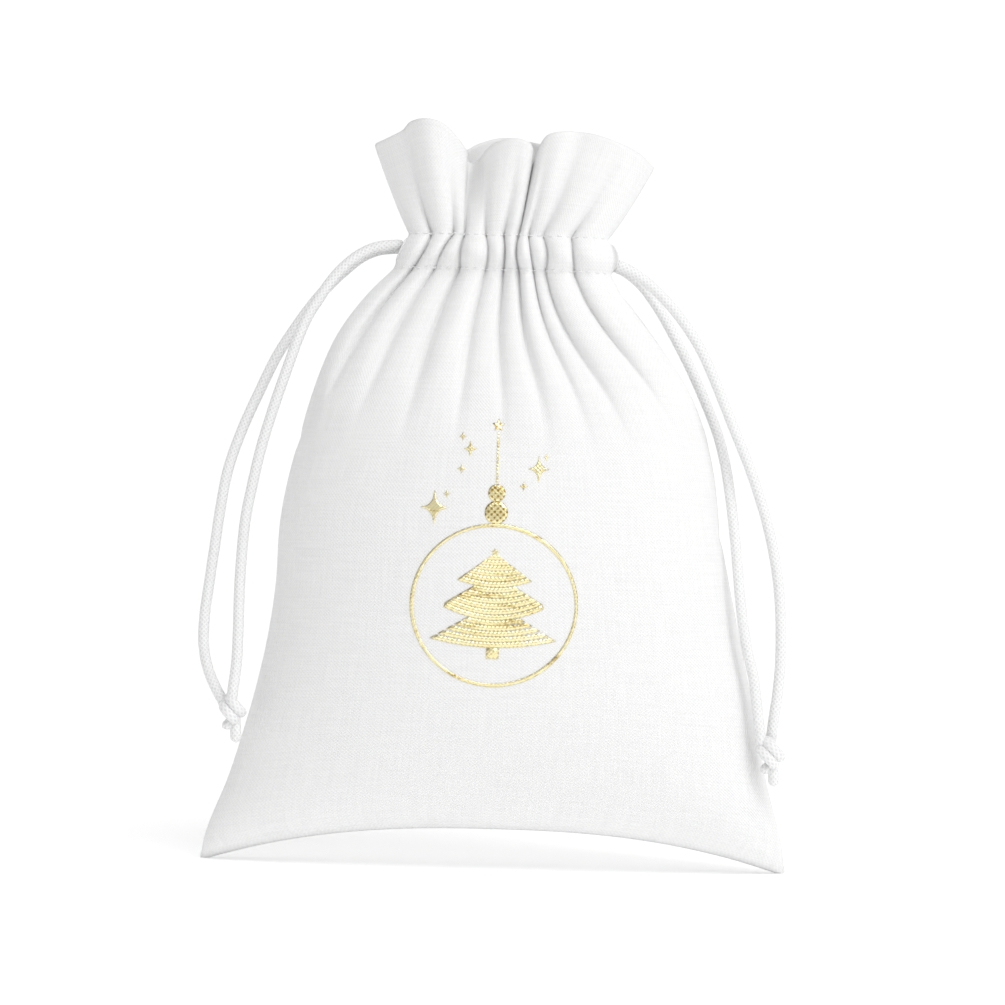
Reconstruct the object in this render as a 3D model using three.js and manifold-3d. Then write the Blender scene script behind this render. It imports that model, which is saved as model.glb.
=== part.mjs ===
// A drawstring gift pouch: a filled cotton bag that two cords draw shut under a frill.
// Millimetres, +Z up, the front faces -Y, and the origin is the middle of the base.

import * as THREE from 'three';
import { mergeVertices } from 'three/addons/utils/BufferGeometryUtils.js';
import Module from 'manifold-3d';

const wasm = await Module();
wasm.setup();

// ---------------------------------------------------------------- the bag

const BASE_WIDTH = 150; // from bottom corner to bottom corner
const BODY_HEIGHT = 151.6; // from the base to the lower row of stitches
const BODY_DEPTH = 62; // front to back where the bag is fullest
const ROUNDING_HEIGHT = 60; // the underside curves in below this height
const ROUNDING_POWER = 2.6;
const CLOTH = 1.3; // wall of the cloth
const SEAM_EDGE = 1.6; // thickness where the front and the back cloth meet
const ARCH_HEIGHT = 8.7; // rise of the bottom edge between its two corners
const CORNER_DROP = 4; // how much of each corner is pressed flat by its own weight
const ARCH_POWER = 2.5;
const ARCH_FADE_HEIGHT = 70; // no rise is left above this height
const PIECE_GAP = 0.3; // between two pieces that touch

const NECK_WIDTH = 58; // at the lower row of stitches
const NECK_DEPTH = 25;
const GATHER_COUNT = 7; // folds across the front of the neck
const GATHER_DEPTH = 0.9; // how far a fold stands out at the neck
const GATHER_START = 108; // the folds fade out down to this height

// Up each flank: [share of the body's height, share of the way from the neck out to the corner]
const LEFT_FLANK = [
  [0, 1],
  [0.038, 0.998],
  [0.132, 0.863],
  [0.216, 0.78],
  [0.322, 0.702],
  [0.458, 0.641],
  [0.575, 0.62],
  [0.737, 0.5],
  [0.892, 0.341],
  [1, 0],
];
const RIGHT_FLANK = [
  [0, 1],
  [0.038, 0.998],
  [0.15, 0.891],
  [0.25, 0.82],
  [0.35, 0.757],
  [0.547, 0.626],
  [0.71, 0.535],
  [0.82, 0.407],
  [0.906, 0.196],
  [1, 0],
];

// Up the bag above its rounding: [share of the body's height, share of the way from neck to fullest]
const DEPTH_STATIONS = [
  [0, 1],
  [0.39, 1],
  [0.56, 0.99],
  [0.66, 0.87],
  [0.76, 0.68],
  [0.86, 0.42],
  [0.95, 0.12],
  [1, 0],
];

// How full each level's outline is, as [share of the body's height, power of the outline]
const FULLNESS = [
  [0, 3],
  [0.2, 2.4],
  [0.8, 2.3],
  [1, 2.6],
];

// ---------------------------------------------------------------- the cords and their casing

const CORD_DIAMETER = 2.8;
const CORD_SIDES = 8;
const CORD_CLEARANCE = 0.45; // between the two cords, and between a cord and its channel
const STITCHED_WALL = 0.6; // between the channel and the outside of the casing

const CORD_RADIUS = CORD_DIAMETER / 2;
const CORD_PITCH = CORD_DIAMETER + CORD_CLEARANCE; // one cord lies above the other
const CHANNEL_HEIGHT = CORD_PITCH + CORD_DIAMETER + 2 * CORD_CLEARANCE;
const CHANNEL_DEPTH = CORD_DIAMETER + 2 * CORD_CLEARANCE;
const CASING_HEIGHT = CHANNEL_HEIGHT + 2 * STITCHED_WALL;
const CASING_BOTTOM = BODY_HEIGHT + PIECE_GAP;
const CASING_TOP = CASING_BOTTOM + CASING_HEIGHT;
const CASING_MIDDLE = (CASING_BOTTOM + CASING_TOP) / 2;
const CASING_WIDTH = 49; // the cords leave the casing at its two ends
const THROAT_DEPTH = 5.6; // opening that the drawn neck leaves
const THROAT_WIDTH = 33;
const CHANNEL_OFFSET = THROAT_DEPTH / 2 + STITCHED_WALL + CHANNEL_DEPTH / 2;
const SLIT_DEPTH = 2 * CHANNEL_OFFSET; // open side of the casing, from channel to channel

const LEAD_LENGTH = 12.5; // straight cord inside each end of a channel
const LEAD_PROUD = 0.5; // how far a lead stands out of its channel
const LEAD_END = CASING_WIDTH / 2 + LEAD_PROUD;
const PIVOT_OUT = LEAD_END + PIECE_GAP + CORD_RADIUS; // where each tail swings, at its ball end
const LEFT_LEVEL = CASING_MIDDLE + CORD_PITCH / 2; // the left cord lies above the right one
const RIGHT_LEVEL = CASING_MIDDLE - CORD_PITCH / 2;
const RUN_SHARES = [0, 0.33, 0.67, 1]; // where a hidden run's straight part has its points
const TURN_DEGREES = [-60, -30, 0, 30, 60]; // and where its turn has them

// ---------------------------------------------------------------- the frill

const FRILL_BOTTOM = CASING_TOP + PIECE_GAP;
const FRILL_HEIGHT = 28;
const FRILL_WIDTH = 73;
const FRILL_DEPTH = 33;
const FRILL_WAVE = 2;
const FRILL_TOP = FRILL_BOTTOM + FRILL_HEIGHT;
const MOUTH_OVERLAP = 1; // how far the cutter for the neck's opening starts below it

// ---------------------------------------------------------------- stitches, seams and print

const STITCH_HEIGHT = 0.9;
const STITCH_THICKNESS = 0.5;
const STITCH_WIDTH = 47;
const SEAM_ALLOWANCE = 8; // cloth turned in along the sides and the bottom
const SEAM_THICKNESS = 1;
const BOTTOM_SEAM_WIDTH = 106;
const BOTTOM_SEAM_TOP = 22;

const FOIL_THICKNESS = 0.4;
const FOIL_CENTRE_X = -1.5;
const BAUBLE_HEIGHT = 66.4; // middle of the printed bauble
const BAUBLE_RADIUS = 21.5;
const BAUBLE_STROKE = 1;
const CAP_RADII = [2.95, 2.2]; // the two beads of its cap, from below
const CAP_OVERLAP = 0.3;
const CHAIN_LENGTH = 12;
const CHAIN_WIDTH = 0.5;
const STAR_RADIUS = 1.7;
const STAR_POINTS = 5;
const STAR_WAIST = 0.45; // share of a star's radius between two points
const TREE_TIERS = [
  // [half width of the tip, height of the tip, half width of the waist above it]
  [16.2, 57.6, 5.8],
  [12.8, 66.8, 6],
  [10.6, 72.2, 1.6],
];
const TREE_TOP = 79.7;
const TREE_BOTTOM = 55.6;
const TRUNK_HALF_WIDTH = 1.7;
const TRUNK_HEIGHT = 2.7;
const TREE_STAR_RADIUS = 1.2;
const TREE_TIP_WIDTH = 1;
const TIER_SLOPE = 0.62; // rise over run of a tier's upper edge

// Four-pointed sparkles: [x, height above the base, half height]
const SPARKLES = [
  [-17.4, 91, 4.4],
  [-14.3, 94.6, 1.1],
  [-10.6, 111, 1.2],
  [-8.6, 106.3, 2.05],
  [-10.7, 101.1, 1.35],
  [9.1, 101.5, 3.4],
  [11.6, 106.5, 0.9],
  [5.3, 97, 1.3],
];
const SPARKLE_SLIMNESS = 0.8; // a sparkle's width as a share of its height

// ---------------------------------------------------------------- meshing

const COLUMNS = 28; // facets across the front of the cloth
const BODY_STEPS = 14;
const BODY_CROWDING = 1.6; // above 1, the steps lie closer near the base
const NECK_STEPS = 2;
const FRILL_STEPS = 4;
const TAIL_STEPS = 20;
const RUN_STEPS = 16;
const CURVE_STEPS = 6; // facets along each curve of the print
const MARGIN = 20; // how far a cutter reaches past what it cuts
const MERGE_DISTANCE = 1e-4;
const BALL_SEGMENTS = [10, 6]; // round and up a tail's ball end
const KNOT_SEGMENTS = [14, 8];

// ---------------------------------------------------------------- the cords' routes

// Each free strand from where it leaves the casing to its knot: [x, y, height]
const LEFT_FRONT_ROUTE = [
  [-30.2, -5.2, 157.4],
  [-34, -5.2, 156.8],
  [-37.9, -5.1, 155],
  [-42.1, -5, 151.6],
  [-45.6, -4.9, 147.4],
  [-48.3, -4.8, 143.2],
  [-50.8, -4.8, 139],
  [-52.8, -4.8, 134.3],
  [-56.1, -4.9, 124.4],
  [-59.2, -5.1, 114.5],
  [-61.9, -5.4, 104.6],
  [-63.9, -5.8, 94.7],
  [-65.2, -6.4, 86.9],
  [-65.9, -7.2, 77],
  [-66, -9.6, 67.2],
  [-65.8, -12.2, 57.4],
  [-65.8, -14.4, 50.5],
  [-66.3, -16, 44.5],
  [-66.6, -16.8, 40.5],
];
const LEFT_BACK_ROUTE = [
  [-30.2, 5.2, 157.4],
  [-34, 5.1, 156.8],
  [-37.9, 4.8, 155],
  [-42.1, 4.3, 151.5],
  [-45.8, 3.7, 147.8],
  [-50, 3, 142.8],
  [-55.5, 2.1, 134.6],
  [-59, 1.4, 128.6],
  [-63.2, 0.6, 119.3],
  [-67.3, -0.3, 109.3],
  [-70.4, -1.2, 99.4],
  [-72, -2.1, 89.6],
  [-73.1, -3, 80],
  [-74.1, -4, 71],
  [-74.9, -6.3, 62.1],
  [-74.7, -8.9, 54.5],
  [-73.1, -11.3, 48.3],
  [-70.4, -13.3, 43],
  [-68.4, -14.2, 39.9],
];
const RIGHT_FRONT_ROUTE = [
  [29.6, -5.2, 153.3],
  [34.2, -5.3, 150.5],
  [38.7, -5.5, 146.7],
  [42.8, -5.7, 142.3],
  [46.7, -6, 137.2],
  [49.9, -6.2, 132],
  [52.6, -6.4, 126.4],
  [55, -6.6, 120.9],
  [57.4, -6.8, 115.2],
  [60, -7, 109.2],
  [62.7, -7.3, 102.8],
  [65, -7.6, 96.5],
  [67.1, -8, 90],
  [69.2, -8.6, 81.5],
  [70.6, -9.2, 73],
  [71.3, -9.9, 63.8],
  [71.4, -10.6, 54],
  [70.9, -11, 46.5],
  [70.1, -11.2, 40],
  [69.5, -11.3, 34.5],
];
const RIGHT_BACK_ROUTE = [
  [29.6, 5.2, 153.3],
  [34, 5, 150],
  [37.8, 4.7, 145.3],
  [41, 4.4, 140.3],
  [44, 3.8, 135],
  [47.2, 3, 129],
  [50.3, 2, 122.4],
  [52.9, 1, 116.4],
  [55, -0.1, 110.8],
  [56.8, -1.8, 103.6],
  [58.1, -4, 95.5],
  [59.1, -6.4, 87.5],
  [59.9, -9, 79.2],
  [60.7, -11, 70.6],
  [61.7, -12, 63],
  [63, -12.2, 56.5],
  [64.6, -12.2, 50.2],
  [65.5, -12.7, 44],
  [66.2, -13.6, 38.4],
  [67, -14, 34],
];

// Each knot: its middle, its half sizes, and its two cut ends as [x, y, tilt in degrees]
const LEFT_KNOT = {
  middle: [-66.4, -15.4, 37.3],
  half: [3.5, 3.3, 4.2],
  stubs: [[-0.9, -0.9, -14], [1, 0.6, 6]],
};
const RIGHT_KNOT = {
  middle: [69.2, -13.4, 30.2],
  half: [3.8, 3.3, 4.3],
  stubs: [[-0.7, -1, 8], [1.4, -0.2, -8]],
};
const STUB_LENGTH = 7.2; // from the knot's middle down to a cut end

// ---------------------------------------------------------------- solids

/** A closed geometry as a solid that can be joined and cut. */
function solidOf(geometry) {
  const bare = geometry.clone();
  bare.deleteAttribute('normal');
  bare.deleteAttribute('uv');
  const merged = mergeVertices(bare, MERGE_DISTANCE);
  const corners = merged.index.array;
  const kept = [];
  for (let i = 0; i < corners.length; i += 3) {
    const [a, b, c] = [corners[i], corners[i + 1], corners[i + 2]];
    if (a !== b && b !== c && c !== a) kept.push(a, b, c);
  }
  return new wasm.Manifold(new wasm.Mesh({
    numProp: 3,
    vertProperties: merged.attributes.position.array,
    triVerts: new Uint32Array(kept),
  }));
}

/** A solid as a geometry that a mesh can show. */
function geometryOf(solid) {
  const faces = solid.getMesh();
  const geometry = new THREE.BufferGeometry();
  geometry.setAttribute('position', new THREE.BufferAttribute(faces.vertProperties, 3));
  geometry.setIndex(new THREE.BufferAttribute(faces.triVerts, 1));
  geometry.computeVertexNormals();
  return geometry;
}

/** A block between two corners. */
function block(low, high) {
  const size = high.map((value, i) => value - low[i]);
  const geometry = new THREE.BoxGeometry(...size);
  geometry.translate(...high.map((value, i) => (value + low[i]) / 2));
  return solidOf(geometry);
}

const REACH = BASE_WIDTH + MARGIN; // past the whole pouch on every side
const FRONT_HALF = block([-REACH, -REACH, -REACH], [REACH, -PIECE_GAP / 2, 2 * REACH]);
const BACK_HALF = block([-REACH, PIECE_GAP / 2, -REACH], [REACH, REACH, 2 * REACH]);

// ---------------------------------------------------------------- the shape of the cloth

/** A smooth function of height through a list of [position, value]. */
function smooth(stations) {
  const places = stations.map(([place]) => place);
  const values = stations.map(([, value]) => value);
  const curve = new THREE.CubicInterpolant(places, values, 1);
  const last = places[places.length - 1];
  return (place) => curve.evaluate(THREE.MathUtils.clamp(place, places[0], last))[0];
}

const leftFlank = smooth(LEFT_FLANK);
const rightFlank = smooth(RIGHT_FLANK);
const depthShare = smooth(DEPTH_STATIONS);
const fullness = smooth(FULLNESS);

/** How far up the frill a height is, from 0 to 1. */
function frillShare(height) {
  return THREE.MathUtils.clamp((height - CASING_TOP) / (FRILL_TOP - CASING_TOP), 0, 1);
}

function halfWidth(height, left) {
  const flank = left ? leftFlank : rightFlank;
  const body = THREE.MathUtils.lerp(NECK_WIDTH / 2, BASE_WIDTH / 2, flank(height / BODY_HEIGHT));
  const casing = THREE.MathUtils.clamp((height - BODY_HEIGHT) / CASING_HEIGHT, 0, 1);
  const neck = THREE.MathUtils.lerp(body, CASING_WIDTH / 2 + CLOTH, casing);
  return THREE.MathUtils.lerp(neck, FRILL_WIDTH / 2, frillShare(height));
}

/** Half the depth at a height. The underside of a grown or shrunk form keeps its distance too. */
function halfDepth(height, grow) {
  const body = THREE.MathUtils.lerp(NECK_DEPTH / 2, BODY_DEPTH / 2, depthShare(height / BODY_HEIGHT));
  const below = THREE.MathUtils.clamp(1 - (height + grow) / ROUNDING_HEIGHT, 0, 1);
  const rounding = Math.pow(1 - Math.pow(below, ROUNDING_POWER), 1 / ROUNDING_POWER);
  return THREE.MathUtils.lerp(body * rounding, FRILL_DEPTH / 2, frillShare(height));
}

/** How far the folds stand out at a height. */
function waveDepth(height) {
  const gathered = THREE.MathUtils.smoothstep(height, GATHER_START, BODY_HEIGHT);
  return THREE.MathUtils.lerp(GATHER_DEPTH * gathered, FRILL_WAVE, frillShare(height));
}

/** How far the bottom edge is lifted: up in the middle, and down at the corners. */
function archLift(x, height) {
  const out = Math.min(Math.abs(x) / (BASE_WIDTH / 2), 1);
  const edge = ARCH_HEIGHT - (ARCH_HEIGHT + CORNER_DROP) * Math.pow(out, ARCH_POWER);
  const fade = THREE.MathUtils.clamp(1 - height / ARCH_FADE_HEIGHT, 0, 1);
  return edge * fade;
}

/** A point of the cloth: across from -1 to 1, side -1 for the front and 1 for the back. */
function clothPoint(across, side, height, grow) {
  const width = halfWidth(height, across < 0) + grow;
  const depth = halfDepth(height, grow) + grow;
  const out = Math.sin(across * Math.PI / 2);
  const power = fullness(height / BODY_HEIGHT);
  const bulge = Math.pow(Math.max(1 - Math.pow(Math.abs(out), power), 0), 1 / power);
  const wave = waveDepth(height) * Math.cos(GATHER_COUNT * Math.PI * across) * (1 - out ** 4);
  const edge = grow < 0 ? PIECE_GAP : SEAM_EDGE / 2;
  const x = width * out;
  return [x, side * Math.max(depth * bulge + wave, edge), height + archLift(x, height)];
}

/** The space inside the cloth's outer face, between two heights, grown or shrunk. */
function clothForm(low, high, steps, grow = 0, crowding = 1) {
  const geometry = new THREE.BoxGeometry(2, 2, 1, COLUMNS, 1, steps);
  const spots = geometry.attributes.position;
  for (let i = 0; i < spots.count; i += 1) {
    const rise = Math.pow(Math.max(spots.getZ(i) + 0.5, 0), crowding);
    const height = low + (high - low) * rise;
    spots.setXYZ(i, ...clothPoint(spots.getX(i), spots.getY(i), height, grow));
  }
  return solidOf(geometry);
}

/** The bag's body, from its underside to the lower row of stitches, grown or shrunk. */
function bodyForm(grow) {
  return clothForm(-grow, BODY_HEIGHT, BODY_STEPS, grow, BODY_CROWDING);
}

// ---------------------------------------------------------------- the cloth's pieces

/** The filled body as two hollow panels that meet along the side seams and the bottom. */
function bodyPanels() {
  const floor = block([-REACH, -REACH, 0], [REACH, REACH, BODY_HEIGHT]);
  const hollowFloor = block([-REACH, -REACH, CLOTH], [REACH, REACH, 2 * REACH]);
  const top = block([-NECK_WIDTH, -NECK_DEPTH, BODY_HEIGHT - MOUTH_OVERLAP], [NECK_WIDTH, NECK_DEPTH, REACH]);
  const inside = bodyForm(-CLOTH).intersect(hollowFloor);
  const mouth = clothForm(BODY_HEIGHT - MOUTH_OVERLAP, BODY_HEIGHT + MARGIN, 1, -CLOTH)
    .intersect(top);
  const shell = bodyForm(0).intersect(floor).subtract(inside).subtract(mouth);
  return { front_panel: shell.intersect(FRONT_HALF), back_panel: shell.intersect(BACK_HALF) };
}

/** The stitched tube round the neck, with a channel for the cords in front and behind. */
function casings() {
  const half = CASING_WIDTH / 2;
  const ends = block([-half, -REACH, CASING_BOTTOM], [half, REACH, CASING_TOP]);
  const low = CASING_BOTTOM + STITCHED_WALL;
  const high = CASING_TOP - STITCHED_WALL;
  let solid = clothForm(CASING_BOTTOM, CASING_TOP, NECK_STEPS).intersect(ends);
  solid = solid.subtract(block(
    [-THROAT_WIDTH / 2, -THROAT_DEPTH / 2, CASING_BOTTOM - MARGIN],
    [THROAT_WIDTH / 2, THROAT_DEPTH / 2, CASING_TOP + MARGIN],
  ));
  for (const side of [-1, 1]) {
    const middle = side * CHANNEL_OFFSET;
    const channel = block(
      [-REACH, middle - CHANNEL_DEPTH / 2, low],
      [REACH, middle + CHANNEL_DEPTH / 2, high],
    );
    const inner = side * THROAT_WIDTH / 2;
    const slit = block(
      [Math.min(inner, side * REACH), -SLIT_DEPTH / 2, low],
      [Math.max(inner, side * REACH), SLIT_DEPTH / 2, high],
    );
    solid = solid.subtract(channel).subtract(slit);
  }
  return { front_casing: solid.intersect(FRONT_HALF), back_casing: solid.intersect(BACK_HALF) };
}

/** The open frill above the casing. */
function frills() {
  const outer = clothForm(FRILL_BOTTOM, FRILL_TOP, FRILL_STEPS);
  const inner = clothForm(FRILL_BOTTOM - PIECE_GAP, FRILL_TOP + PIECE_GAP, FRILL_STEPS, -CLOTH);
  const shell = outer.subtract(inner);
  return { front_frill: shell.intersect(FRONT_HALF), back_frill: shell.intersect(BACK_HALF) };
}

/** The cloth turned in along the two side seams and the bottom seam. */
function innerSeams() {
  const outside = -CLOTH - PIECE_GAP;
  const slab = block(
    [-REACH, -SEAM_THICKNESS / 2, CLOTH + PIECE_GAP],
    [REACH, SEAM_THICKNESS / 2, BODY_HEIGHT - CLOTH],
  );
  const web = bodyForm(outside).subtract(bodyForm(outside - SEAM_ALLOWANCE)).intersect(slab);
  const half = BOTTOM_SEAM_WIDTH / 2;
  const bottom = block([-half, -REACH, -REACH], [half, REACH, BOTTOM_SEAM_TOP]);
  const around = block(
    [-half - PIECE_GAP, -REACH, -REACH],
    [half + PIECE_GAP, REACH, BOTTOM_SEAM_TOP + PIECE_GAP],
  );
  const left = block([-REACH, -REACH, -REACH], [-PIECE_GAP, REACH, REACH]);
  const right = block([PIECE_GAP, -REACH, -REACH], [REACH, REACH, REACH]);
  const sides = web.subtract(around);
  return {
    bottom_seam: web.intersect(bottom),
    left_side_seam: sides.intersect(left),
    right_side_seam: sides.intersect(right),
  };
}

/** A row of stitches round the neck, lying on the cloth at a height. */
function stitchRow(height) {
  const low = height - STITCH_HEIGHT / 2;
  const high = height + STITCH_HEIGHT / 2;
  const ends = block([-STITCH_WIDTH / 2, -REACH, low], [STITCH_WIDTH / 2, REACH, high]);
  const outer = clothForm(low, high, 1, PIECE_GAP + STITCH_THICKNESS);
  const inner = clothForm(low - PIECE_GAP, high + PIECE_GAP, 1, PIECE_GAP);
  const row = outer.subtract(inner).intersect(ends);
  return [row.intersect(FRONT_HALF), row.intersect(BACK_HALF)];
}

function stitching() {
  const [frontLower, backLower] = stitchRow(BODY_HEIGHT + PIECE_GAP / 2);
  const [frontUpper, backUpper] = stitchRow(CASING_TOP + PIECE_GAP / 2);
  return {
    front_lower_stitching: frontLower,
    back_lower_stitching: backLower,
    front_upper_stitching: frontUpper,
    back_upper_stitching: backUpper,
  };
}

// ---------------------------------------------------------------- the cords

/** A round cord along a list of points. */
function cordAlong(points, steps, radius = CORD_RADIUS) {
  const section = new THREE.Shape().absarc(0, 0, radius, 0, 2 * Math.PI);
  const path = new THREE.CatmullRomCurve3(points.map((point) => new THREE.Vector3(...point)));
  return solidOf(new THREE.ExtrudeGeometry(section, {
    extrudePath: path,
    steps,
    curveSegments: CORD_SIDES / 2,
  }));
}

/** The hidden part of a cord: along the front channel, round the far end and back behind. */
function cordRun(side, level) {
  const turnStart = THROAT_WIDTH / 2 + CORD_CLEARANCE;
  const start = -side * (LEAD_END - LEAD_LENGTH - PIECE_GAP);
  const points = [];
  for (const share of RUN_SHARES) {
    points.push([THREE.MathUtils.lerp(start, side * turnStart, share), -CHANNEL_OFFSET, level]);
  }
  for (const degrees of TURN_DEGREES) {
    const angle = THREE.MathUtils.degToRad(degrees);
    const x = side * (turnStart + CHANNEL_OFFSET * Math.cos(angle));
    points.push([x, CHANNEL_OFFSET * Math.sin(angle), level]);
  }
  for (const share of [...RUN_SHARES].reverse()) {
    points.push([THREE.MathUtils.lerp(start, side * turnStart, share), CHANNEL_OFFSET, level]);
  }
  return cordAlong(points, RUN_STEPS);
}

/** The straight end of a strand inside its channel. It slides as the cord is pulled. */
function lead(side, face, level) {
  const geometry = new THREE.CylinderGeometry(CORD_RADIUS, CORD_RADIUS, LEAD_LENGTH, CORD_SIDES);
  geometry.rotateZ(Math.PI / 2);
  geometry.translate(side * (LEAD_END - LEAD_LENGTH / 2), face * CHANNEL_OFFSET, level);
  return solidOf(geometry);
}

/** The points of a tail, from its ball end at the casing. */
function tailPoints(side, face, level, route) {
  return [[side * PIVOT_OUT, face * CHANNEL_OFFSET, level], ...route];
}

/** A free strand, with a ball end that can swing against its lead. */
function tail(points) {
  const ball = new THREE.SphereGeometry(CORD_RADIUS, ...BALL_SEGMENTS);
  ball.translate(...points[0]);
  return cordAlong(points, TAIL_STEPS).add(solidOf(ball));
}

/** The knot that joins two tails, with the two cut ends under it. */
function knot({ middle, half, stubs }, tails) {
  const lump = new THREE.SphereGeometry(1, ...KNOT_SEGMENTS);
  lump.scale(...half);
  lump.translate(...middle);
  let solid = solidOf(lump);
  for (const [x, y, tilt] of stubs) {
    const stub = new THREE.CylinderGeometry(CORD_RADIUS, CORD_RADIUS, STUB_LENGTH, CORD_SIDES);
    stub.translate(0, -STUB_LENGTH / 2, 0);
    stub.rotateX(Math.PI / 2);
    stub.rotateY(THREE.MathUtils.degToRad(tilt));
    stub.translate(middle[0] + x, middle[1] + y, middle[2]);
    solid = solid.add(solidOf(stub));
  }
  for (const points of tails) {
    solid = solid.subtract(cordAlong(points, TAIL_STEPS, CORD_RADIUS + PIECE_GAP));
  }
  return solid;
}

/** Both halves of one cord: the hidden run, the two leads, the two tails and the knot. */
function cord(name, side, level, frontRoute, backRoute, knotShape) {
  const frontPoints = tailPoints(side, -1, level, frontRoute);
  const backPoints = tailPoints(side, 1, level, backRoute);
  return {
    [`${name}_cord_run`]: cordRun(-side, level),
    [`${name}_front_lead`]: lead(side, -1, level),
    [`${name}_back_lead`]: lead(side, 1, level),
    [`${name}_front_tail`]: tail(frontPoints),
    [`${name}_back_tail`]: tail(backPoints),
    [`${name}_knot`]: knot(knotShape, [frontPoints, backPoints]),
  };
}

// ---------------------------------------------------------------- the foil print

/** A flat shape in x and height, pushed through the front of the bag. */
function prism(shape) {
  const geometry = new THREE.ExtrudeGeometry(shape, {
    depth: BODY_DEPTH,
    bevelEnabled: false,
    curveSegments: CURVE_STEPS,
  });
  geometry.rotateX(Math.PI / 2);
  return solidOf(geometry);
}

/** A round shape, made of as many arcs as keep a large one smooth. */
function disc(x, height, radius) {
  const arcs = radius > STITCH_WIDTH / 4 ? 4 : 1;
  const shape = new THREE.Shape();
  for (let i = 0; i < arcs; i += 1) {
    shape.absarc(x, height, radius, i * 2 * Math.PI / arcs, (i + 1) * 2 * Math.PI / arcs);
  }
  return shape;
}

/** A star of any number of points. */
function starShape(x, height, radius, count, waist) {
  const points = [];
  for (let i = 0; i < 2 * count; i += 1) {
    const reach = i % 2 === 0 ? radius : radius * waist;
    const angle = Math.PI / 2 + i * Math.PI / count;
    points.push(new THREE.Vector2(x + reach * Math.cos(angle), height + reach * Math.sin(angle)));
  }
  return new THREE.Shape(points);
}

/** A four-pointed sparkle with hollow sides. */
function sparkleShape(x, height, half) {
  const wide = half * SPARKLE_SLIMNESS;
  const shape = new THREE.Shape();
  shape.moveTo(x, height + half);
  shape.quadraticCurveTo(x, height, x + wide, height);
  shape.quadraticCurveTo(x, height, x, height - half);
  shape.quadraticCurveTo(x, height, x - wide, height);
  shape.quadraticCurveTo(x, height, x, height + half);
  return shape;
}

function treeShape() {
  const right = [[TRUNK_HALF_WIDTH, TREE_BOTTOM - TRUNK_HEIGHT], [TRUNK_HALF_WIDTH, TREE_BOTTOM]];
  for (const [tip, height, waist] of TREE_TIERS) {
    right.push([tip, height]);
    right.push([waist, height + (tip - waist) * TIER_SLOPE]);
  }
  right.push([TREE_TIP_WIDTH / 2, TREE_TOP]);
  const left = right.map(([x, height]) => [-x, height]).reverse();
  const outline = [...right, ...left];
  return new THREE.Shape(outline.map(([x, height]) => new THREE.Vector2(FOIL_CENTRE_X + x, height)));
}

/** The gold print on the front: a hanging bauble with a fir tree in it, and sparkles. */
function foilPrint() {
  const film = bodyForm(PIECE_GAP + FOIL_THICKNESS).subtract(bodyForm(PIECE_GAP));
  const printed = (solid) => solid.intersect(film).intersect(FRONT_HALF);
  const ring = disc(FOIL_CENTRE_X, BAUBLE_HEIGHT, BAUBLE_RADIUS);
  ring.holes.push(disc(FOIL_CENTRE_X, BAUBLE_HEIGHT, BAUBLE_RADIUS - BAUBLE_STROKE));
  const [lower, upper] = CAP_RADII;
  const lowerBead = BAUBLE_HEIGHT + BAUBLE_RADIUS + PIECE_GAP + lower;
  const upperBead = lowerBead + lower + upper - CAP_OVERLAP;
  const chainBottom = upperBead + upper + PIECE_GAP;
  const chain = new THREE.Shape([
    new THREE.Vector2(FOIL_CENTRE_X - CHAIN_WIDTH / 2, chainBottom),
    new THREE.Vector2(FOIL_CENTRE_X + CHAIN_WIDTH / 2, chainBottom),
    new THREE.Vector2(FOIL_CENTRE_X + CHAIN_WIDTH / 2, chainBottom + CHAIN_LENGTH),
    new THREE.Vector2(FOIL_CENTRE_X - CHAIN_WIDTH / 2, chainBottom + CHAIN_LENGTH),
  ]);
  const starHeight = chainBottom + CHAIN_LENGTH + PIECE_GAP + STAR_RADIUS;
  const treeStar = starShape(FOIL_CENTRE_X, TREE_TOP, TREE_STAR_RADIUS, STAR_POINTS, STAR_WAIST);
  const pieces = {
    foil_bauble: printed(prism(ring)),
    foil_cap: printed(prism(disc(FOIL_CENTRE_X, lowerBead, lower))
      .add(prism(disc(FOIL_CENTRE_X, upperBead, upper)))),
    foil_chain: printed(prism(chain)),
    foil_star: printed(prism(
      starShape(FOIL_CENTRE_X, starHeight, STAR_RADIUS, STAR_POINTS, STAR_WAIST),
    )),
    foil_tree: printed(prism(treeShape()).add(prism(treeStar))),
  };
  SPARKLES.forEach(([x, height, half], i) => {
    pieces[`foil_sparkle_${i + 1}`] = printed(prism(sparkleShape(x, height, half)));
  });
  return pieces;
}

// ---------------------------------------------------------------- the pouch

const FINISHES = {
  cotton: () => new THREE.MeshStandardMaterial({ color: 0xf4f4f2, roughness: 0.9, metalness: 0 }),
  thread: () => new THREE.MeshStandardMaterial({ color: 0xefefed, roughness: 0.7, metalness: 0 }),
  satin: () => new THREE.MeshStandardMaterial({ color: 0xf7f7f6, roughness: 0.45, metalness: 0 }),
  foil: () => new THREE.MeshStandardMaterial({ color: 0xe6c766, roughness: 0.25, metalness: 1 }),
};

const pouch = new THREE.Group();

/** Adds a set of named solids in one finish. */
function place(solids, finish) {
  for (const [name, solid] of Object.entries(solids)) {
    const mesh = new THREE.Mesh(geometryOf(solid), FINISHES[finish]());
    mesh.name = name;
    pouch.add(mesh);
  }
}

place(bodyPanels(), 'cotton');
place(casings(), 'cotton');
place(frills(), 'cotton');
place(innerSeams(), 'cotton');
place(stitching(), 'thread');
place(cord('left', -1, LEFT_LEVEL, LEFT_FRONT_ROUTE, LEFT_BACK_ROUTE, LEFT_KNOT), 'satin');
place(cord('right', 1, RIGHT_LEVEL, RIGHT_FRONT_ROUTE, RIGHT_BACK_ROUTE, RIGHT_KNOT), 'satin');
place(foilPrint(), 'foil');

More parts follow.
